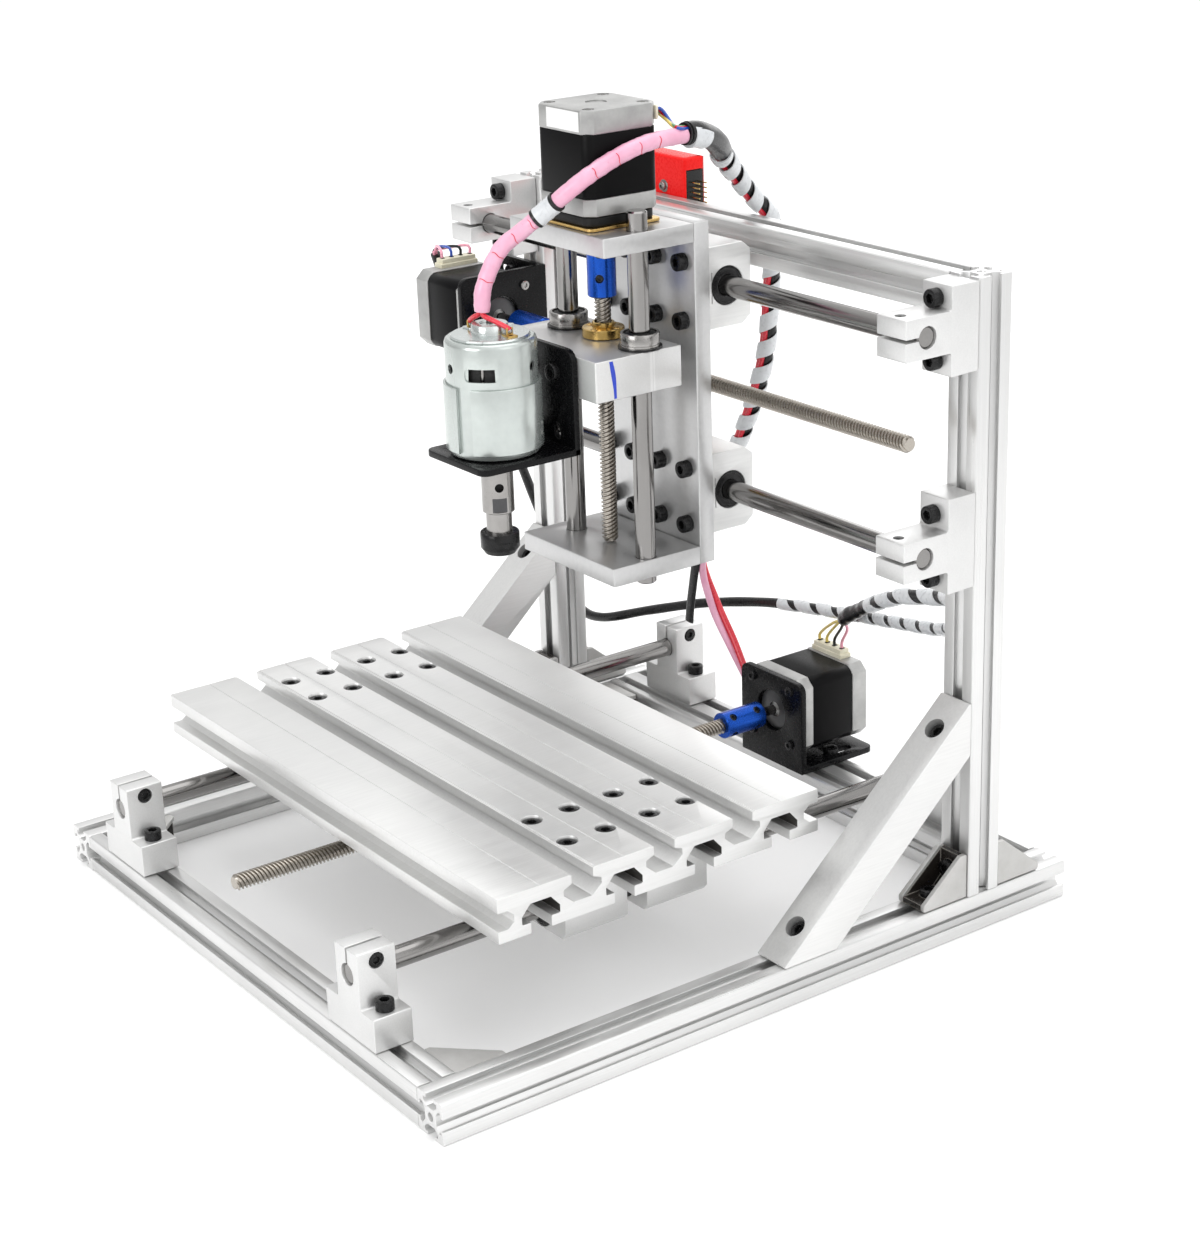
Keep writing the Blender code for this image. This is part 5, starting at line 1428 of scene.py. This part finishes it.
def collar(at, direction, r_in, r_out, width, mat, head=None):
    """A short band round a cable, rounded at its rims."""
    e = (r_out - r_in) * 0.3
    profile = [(r_in, -width / 2), (r_out - e, -width / 2), (r_out, -width / 2 + e), (r_out, width / 2 - e), (r_out - e, width / 2), (r_in, width / 2), (r_in, -width / 2)]
    parts = [dressed(lathe("band", profile, at, axes_to(direction), None, None, 32), mat)]
    if head is not None:
        axes = axes_to(direction, head)
        local = matrix3(axes)
        c = Vector(at) + local @ Vector((r_out + 1.0, 0, 0))
        parts.append(dressed_prism("lock", [rounded(rect(-1.5, -2.1, 1.5, 2.1), 0.5, 3)], width + 1.2, c, axes, mat, 0.3))
    return parts


def cable_piece(name, parts, body, node_name, line, blend=None):
    made = joined(name, parts, None)
    if blend:
        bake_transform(made)
    else:
        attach(made, body)
    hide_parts(node_name)
    return made


def bundle(points, body, name, colours, radius, spread, blend=None):
    """Thin wires side by side between fanned points: each entry of points is a list of one wire's points."""
    parts = [tube_mesh("strand", smooth(route, 2.0), radius, mat, 10) for route, mat in zip(points, colours)]
    made = joined(name, parts, None)
    if blend:
        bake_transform(made)
    else:
        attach(made, body)
    return made


# spindle lead: pink sleeve with creases, a white collar with two black ties, two red wires below
line = smooth(SPINDLE_ROUTE, 1.6)
creases = [14, 27, 38, 49, 88, 101, 113, 124]


def sleeve_radius(s):
    r = 3.95 + 0.08 * math.sin(s * 0.9) + 0.06 * math.sin(s * 2.3 + 1)
    for c in creases:
        r -= 0.22 * math.exp(-(((s - c) / 0.9) ** 2))
    return r - 0.5 * math.exp(-((s / 1.5) ** 2))


parts = [tube_mesh("sleeve", line, sleeve_radius, PINK, 20)]
for c in creases:
    short = part_of(line, c - 0.8, c + 0.8)
    fr = frames(short)
    t, u, v = fr[len(fr) // 2]
    middle = short[len(short) // 2]
    # a thin darker red crease line over the part of the tube that faces down and out: painted shade in the fold
    down = (Vector((0.7, -0.5, -0.35)) - t * t.dot(Vector((0.7, -0.5, -0.35)))).normalized()
    side = t.cross(down)
    pts = []
    for k in range(9):
        a = math.radians(-62 + 14 * k)
        pts.append(middle + (down * math.cos(a) + side * math.sin(a)) * 3.86 + t * (0.35 * math.sin(k)))
    parts.append(tube_mesh("crease", pts, lambda s: 0.14 + 0.08 * math.sin(min(3.14, s / 6 * 3.14)), RED_WIRE, 6))
mid = nearest_arc(line, (15.5, 183.0, 345.5))
wrap = part_of(line, mid - 6.0, mid + 6.0)
parts.append(tube_mesh("collar", wrap, lambda s: 4.75 + 0.12 * math.sin(s * 1.4), WHITE_WRAP, 24))
for d, turn in ((-6.4, 0.4), (6.4, 2.0)):
    spot = part_of(line, mid + d - 1.0, mid + d + 1.0)
    parts += collar(spot[len(spot) // 2], (spot[-1] - spot[0]), 3.8, 4.85, 2.0, BLACK_CABLE)
bends = (P(*SPINDLE_ROUTE[0]), P(*TIE))
terminal_wires = []
for where, sign in ((TERMINALS[0], -1), (TERMINALS[1], 1)):
    start = Vector(SPINDLE_ROUTE[0])
    route = [start + Vector((1.3 * sign, 0, 1.5)), start + Vector((1.9 * sign, -0.6, -1.4)), start.lerp(where, 0.5) + Vector((0, -1.0, 0.8)), where + Vector((0.6 * -sign, -0.4, 2.2)), where + Vector((0, 0, 0.9))]
    terminal_wires.append(tube_mesh("strand", smooth(route, 1.2), 1.25, RED_WIRE, 12))
    terminal_wires.append(dressed(lathe("solder", [(0.4, -1.2), (1.3, -0.6), (1.5, 0.4), (0.9, 1.4), (0.3, 1.7)], where + Vector((0, 0, 0.6)), "z", None, None, 16), BRIGHT))
pigtail = joined("spindle_wires", terminal_wires, "z_carriage")
cable_piece("spindle_lead", parts, None, "spindle_cable", line, blend=("z_carriage", "x_carriage", *bends))

# carriage lead: black and red cables in white spiral wrap, then bare down to the rear beam
line = smooth(CARRIAGE_ROUTE, 2.0)
split = nearest_arc(line, (-77.0, 341.0, 118.0))
total = arc(line)


def core(line, side, up, radius, mat, n=14):
    return tube_mesh("core", shifted(line, None, side, up), radius, mat, n)


parts = []
upper = part_of(line, 0.0, split)
fr = frames(upper)
want = Vector((-0.2, -0.75, -0.55))
blacks, reds, pinks = [], [], []
for p, (t, u, v) in zip(upper, fr):
    low_side = (want - t * want.dot(t)).normalized()
    across = t.cross(low_side)
    blacks.append(p - low_side * 0.9)
    reds.append(p + low_side * 2.35 + across * 0.9)
    pinks.append(p + low_side * 2.45 - across * 1.0)
parts.append(tube_mesh("black_core", blacks, lambda s: 3.25 + 2.35 * math.exp(-((max(0.0, s - 34.0) / 22.0) ** 2)), BLACK_CABLE, 18))
parts.append(tube_mesh("red_core", reds, 1.5, RED_WIRE, 12))
parts.append(tube_mesh("pink_core", pinks, 1.45, RED_WIRE, 12))
parts.append(tube_mesh("first_turn", part_of(line, 1.6, 12.5), lambda s: 6.35 - 0.01 * s, WHITE_WRAP, 28))
parts.append(band_mesh("wrap", part_of(line, 44.0, split - 4), 4.2, 0.75, 14.4, 9.2, WHITE_WRAP, 0.6, lambda s: 1.1 * math.exp(-((s / 26.0) ** 2))))
lower = part_of(line, split - 3, total)
fr = frames(lower)
length = arc(lower)
one, two, walked = [], [], 0.0
for i, (p, (t, u, v)) in enumerate(zip(lower, fr)):
    if i:
        walked += (lower[i] - lower[i - 1]).length
    a = 1.2 + walked / 26.0
    offset = (u * math.cos(a) + v * math.sin(a)) * 1.9
    one.append(p + offset)
    two.append(p - offset)
parts.append(tube_mesh("red_pair", one, 1.9, RED_WIRE, 14))
parts.append(tube_mesh("pink_pair", two, 2.1, PINK, 14))
parts += collar(lower[2], (lower[4] - lower[0]), 4.0, 4.9, 2.2, BLACK_CABLE)
carriage_blend = ("x_carriage", "frame", P(-1.0, 330.5, 318.0), P(-39.5, 349.5, 40.0))
# the end of the black cable hangs free beside the pair, folded back as a flat band
hang = smooth([(-76.5, 338.5, 121.0), (-79.5, 338.0, 111.0), (-83.0, 338.5, 98.0), (-86.0, 339.0, 86.0), (-88.0, 339.5, 76.0)], 2.0)
bm_rings = []
flat_parts = [tube_mesh("flat", hang, 2.0, BLACK_CABLE, 16)]
for vert in flat_parts[0].data.vertices:
    where = Vector(((vert.co.x - OX) / MM, (vert.co.y - OY) / MM, vert.co.z / MM))
    near = min(hang, key=lambda q: (q - where).length)
    away = where - near
    vert.co = P(*(near + Vector((away.x * 1.75, away.y * 0.5, away.z))))
flat_parts += collar(hang[1], hang[2] - hang[0], 2.2, 4.6, 2.0, BLACK_CABLE)
tail = joined("carriage_tail", flat_parts, None)
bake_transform(tail)
cable_piece("carriage_lead", parts, None, "carriage_cable", line, blend=carriage_blend)
foot_gland = joined("carriage_gland", [dressed(lathe("gland", [(4.4, -0.1), (6.6, 0.1), (6.8, 1.2), (6.2, 3.0), (5.0, 7.0), (4.6, 9.0), (4.3, 9.3), (4.3, 0.2)], (-39.5, 349.5, 20.2), "z", None, None, 32), RUBBER)], "frame")

# y motor lead: four wires, heat-shrink, spiral wrap, into the clip
line = smooth(Y_ROUTE, 2.0)
shrink0, shrink1 = nearest_arc(line, (13.0, 366.5, 99.0)), nearest_arc(line, (44.0, 357.5, 118.2))
begin = part_of(line, 0, shrink0 + 2)
parts = [tube_mesh("inner", part_of(line, shrink0, arc(line)), 3.5, BLACK_CABLE, 16)]
parts.append(tube_mesh("shrink", part_of(line, shrink0, shrink1), lambda s: 3.95 + 0.15 * math.sin(s * 0.7) - 0.8 * math.exp(-((s / 1.6) ** 2)) + 0.3 * math.exp(-(((s - 12) / 4.0) ** 2)), BLACK_CABLE, 20))
parts.append(band_mesh("wrap", part_of(line, shrink1 + 1.0, arc(line) - 6), 3.6, 0.75, 22.0, 14.5, WHITE_WRAP, 2.4))
parts.append(tube_mesh("first_turn", part_of(line, shrink1 - 1.0, shrink1 + 7.0), 4.25, WHITE_WRAP, 24))
socket_top = (YM[0] - 3.0, y_high[1] - 4.6, y_high[2] + 4.6)
routes = []
target = line[0:1]
head = part_of(line, max(0.0, shrink0 - 1), shrink0 + 3)
for k, (mat, u) in enumerate(((YELLOW_WIRE, -9.0), (YELLOW_WIRE, -3.0), (BLACK_CABLE, 3.0), (PINK_WIRE, 9.0))):
    turn = k * math.pi / 2 + 0.6
    end = head[-1] + Vector((0.9 * math.cos(turn), 0.3, 0.9 * math.sin(turn)))
    start = Vector(socket_top) + Vector((u, 0, -1.0))
    routes.append([start, start + Vector((0, 0, 5.0)), start.lerp(end, 0.55) + Vector((0.2 * u, 0.6, 2.5)), end - (head[-1] - head[0]).normalized() * 4, end])
bends = bundle(routes, "frame", "y_motor_wires", (YELLOW_WIRE, YELLOW_WIRE, BLACK_CABLE, PINK_WIRE), 0.85, 0)
inner_line = part_of(line, shrink0, arc(line))
cable_piece("y_motor_lead", parts, "frame", "y_motor_cable", inner_line)

# x motor lead: four wires, black sleeve down behind the post, spiral wrap on its last stretch
line = smooth(X_ROUTE, 2.0)
wrap0 = nearest_arc(line, (-52.0, 371.5, 88.7))
start0 = 16.0
parts = [tube_mesh("inner", part_of(line, start0, arc(line)), lambda s: 2.75 + 0.06 * math.sin(s * 0.21), BLACK_CABLE, 18)]
parts.append(band_mesh("wrap", part_of(line, wrap0 + 5, arc(line) - 5), 2.85, 0.75, 18.0, 12.4, WHITE_WRAP, 1.2))
socket_top = (x_low[0] + 4.6, XM[1] + 3.0, x_high[2] + 4.6)
head = part_of(line, start0 - 1, start0 + 3)
routes = []
for k, u in enumerate((-9.0, -3.0, 3.0, 9.0)):
    turn = k * math.pi / 2 + 0.6
    end = head[-1] + Vector((0.8 * math.cos(turn), 0.8 * math.sin(turn), 0))
    start = Vector(socket_top) + Vector((0, u, -1.0))
    routes.append([start, start + Vector((-1.0, 0, 5.5)), start.lerp(end, 0.5) + Vector((-3.0, 0, 6.0 - 0.12 * u)), head[0] + Vector((0.6 * math.cos(turn), 0.6 * math.sin(turn), 1.0)), end])
wires = bundle(routes, "frame", "x_motor_wires", (PINK_WIRE, BLUE_WIRE, BLACK_CABLE, PINK_WIRE), 0.8, 0)
cable_piece("x_motor_lead", parts, "frame", "x_motor_cable", part_of(line, start0, arc(line)))

# z motor wires to the tie
routes = []
for k, (mat, dx) in enumerate(((YELLOW_WIRE, -4.5), (GREEN_WIRE, -1.5), (RED_WIRE, 1.5), (BLUE_WIRE, 4.5))):
    turn = k * 1.2
    end = TIE + TIE_DIR * 2 + Vector((-1.8 + 1.2 * k, 0.0, 3.9 - 0.35 * abs(k - 1)))
    start = Vector((ZM[0] + 10 + dx, z_high[1] + 0.5, z_high[2] - 5.5))
    routes.append([start, start + Vector((0, 5.0, 0.6)), Vector((23.0 + k, 247.2 + 0.5 * k, 380.4 - 0.6 * k)), TIE - TIE_DIR * 5 + Vector((-1.8 + 1.2 * k, 0, 4.0 - 0.3 * abs(k - 1))), end])
parts = [tube_mesh("strand", smooth(route, 1.5), 0.78, mat, 10) for route, mat in zip(routes, (YELLOW_WIRE, GREEN_WIRE, RED_WIRE, BLUE_WIRE))]
parts += socket((ZM[0] + 10, z_high[1] - 0.3, z_high[2] - 5.5), ((1, 0, 0), (0, 0, -1), (0, 1, 0)), 4, None, 15.0, 5.5, 2.2)
joined("z_motor_wires", parts, "x_carriage")
joined("bundle_tie", collar(TIE + TIE_DIR * 1.2 + Vector((0, 0, 0.6)), TIE_DIR, 4.6, 5.4, 2.6, BLACK_CABLE), "x_carriage")

# ---------------------------------------------------------------- any CAD node still showing
for name, obj in frame["nodes"].items():
    obj.data.materials.clear()
    obj.data.materials.append(MILLED)

# ---------------------------------------------------------------- floor, light, camera
def stage_material():
    made, tree, shader = principled("studio_floor")
    n = noise_node(tree, 3.0, detail=2.0)
    tree.links.new(mixed(tree, ranged(tree, n.outputs["Fac"], 0, 1), (0.90, 0.90, 0.90), (0.915, 0.915, 0.915)), shader.inputs["Base Color"])
    shader.inputs["Roughness"].default_value = 0.75
    shader.inputs["Specular IOR Level"].default_value = 0.15
    shader.inputs["Emission Color"].default_value = (1, 1, 1, 1)
    shader.inputs["Emission Strength"].default_value = 0.08
    return made


bm = bmesh.new()
bmesh.ops.create_grid(bm, x_segments=2, y_segments=2, size=14.0)
data = bpy.data.meshes.new("floor")
bm.to_mesh(data)
bm.free()
floor = add("floor", data)
data.materials.append(stage_material())

bpy.context.scene.view_settings.view_transform = "Standard"
world = bpy.data.worlds.new("studio")
bpy.context.scene.world = world
world.use_nodes = True
tree = world.node_tree
background = tree.nodes["Background"]
coord = node(tree, "ShaderNodeTexCoord")
# a bright room: white overhead and to the right, a darker side to the left and in front
split_xyz = node(tree, "ShaderNodeSeparateXYZ")
tree.links.new(coord.outputs["Generated"], split_xyz.inputs["Vector"])


def math_node(op, a, b):
    made = node(tree, "ShaderNodeMath", operation=op)
    for i, v in enumerate((a, b)):
        if isinstance(v, (int, float)):
            made.inputs[i].default_value = v
        else:
            tree.links.new(v, made.inputs[i])
    return made.outputs["Value"]


tilt = math_node("ADD", math_node("MULTIPLY", split_xyz.outputs["X"], 0.30), math_node("MULTIPLY", split_xyz.outputs["Y"], 0.45))
tilt = math_node("ADD", tilt, math_node("MULTIPLY", split_xyz.outputs["Z"], 0.60))
level = node(tree, "ShaderNodeMapRange")
level.inputs["From Min"].default_value = -0.60
level.inputs["From Max"].default_value = 0.30
level.inputs["To Min"].default_value = 0.32
level.inputs["To Max"].default_value = 1.12
tree.links.new(tilt, level.inputs["Value"])
tree.links.new(level.outputs["Result"], background.inputs["Strength"])
background.inputs["Color"].default_value = (1, 1, 1, 1)


def area(name, at, to, size, power, colour=(1, 1, 1)):
    light = bpy.data.lights.new(name, "AREA")
    light.shape = "RECTANGLE"
    light.size, light.size_y = size
    light.energy = power
    light.color = colour
    obj = bpy.data.objects.new(name, light)
    bpy.context.scene.collection.objects.link(obj)
    obj.location = at
    obj.rotation_euler = (Vector(to) - Vector(at)).to_track_quat("-Z", "Y").to_euler()
    return obj


target = (0.0, 0.0, 0.15)
area("key", (1.9, 0.2, 1.2), target, (1.2, 1.2), 3)
area("overhead", (0.0, 0.3, 2.1), target, (2.0, 2.0), 16)
area("rear_fill", (-0.9, 1.8, 1.0), target, (1.6, 1.0), 6)
area("front_fill", (0.3, -2.2, 1.0), target, (1.4, 1.0), 17)

camera = bpy.data.cameras.new("camera")
camera.lens, camera.sensor_width, camera.sensor_fit = 73.48, 36, "AUTO"
camera.clip_start, camera.clip_end = 0.05, 60
az, el, roll = math.radians(54.81), math.radians(20.46), math.radians(-2.01)
back = Vector((math.sin(az) * math.cos(el), -math.cos(az) * math.cos(el), math.sin(el)))
right = (-back).cross(Vector((0, 0, 1))).normalized()
up = right.cross(-back)
r2 = right * math.cos(roll) + up * math.sin(roll)
u2 = -right * math.sin(roll) + up * math.cos(roll)
eye = bpy.data.objects.new("camera", camera)
bpy.context.scene.collection.objects.link(eye)
eye.matrix_world = Matrix.Translation(P(970.98, -468.61, 575.26)) @ Matrix((r2, u2, back)).transposed().to_4x4()
bpy.context.scene.camera = eye
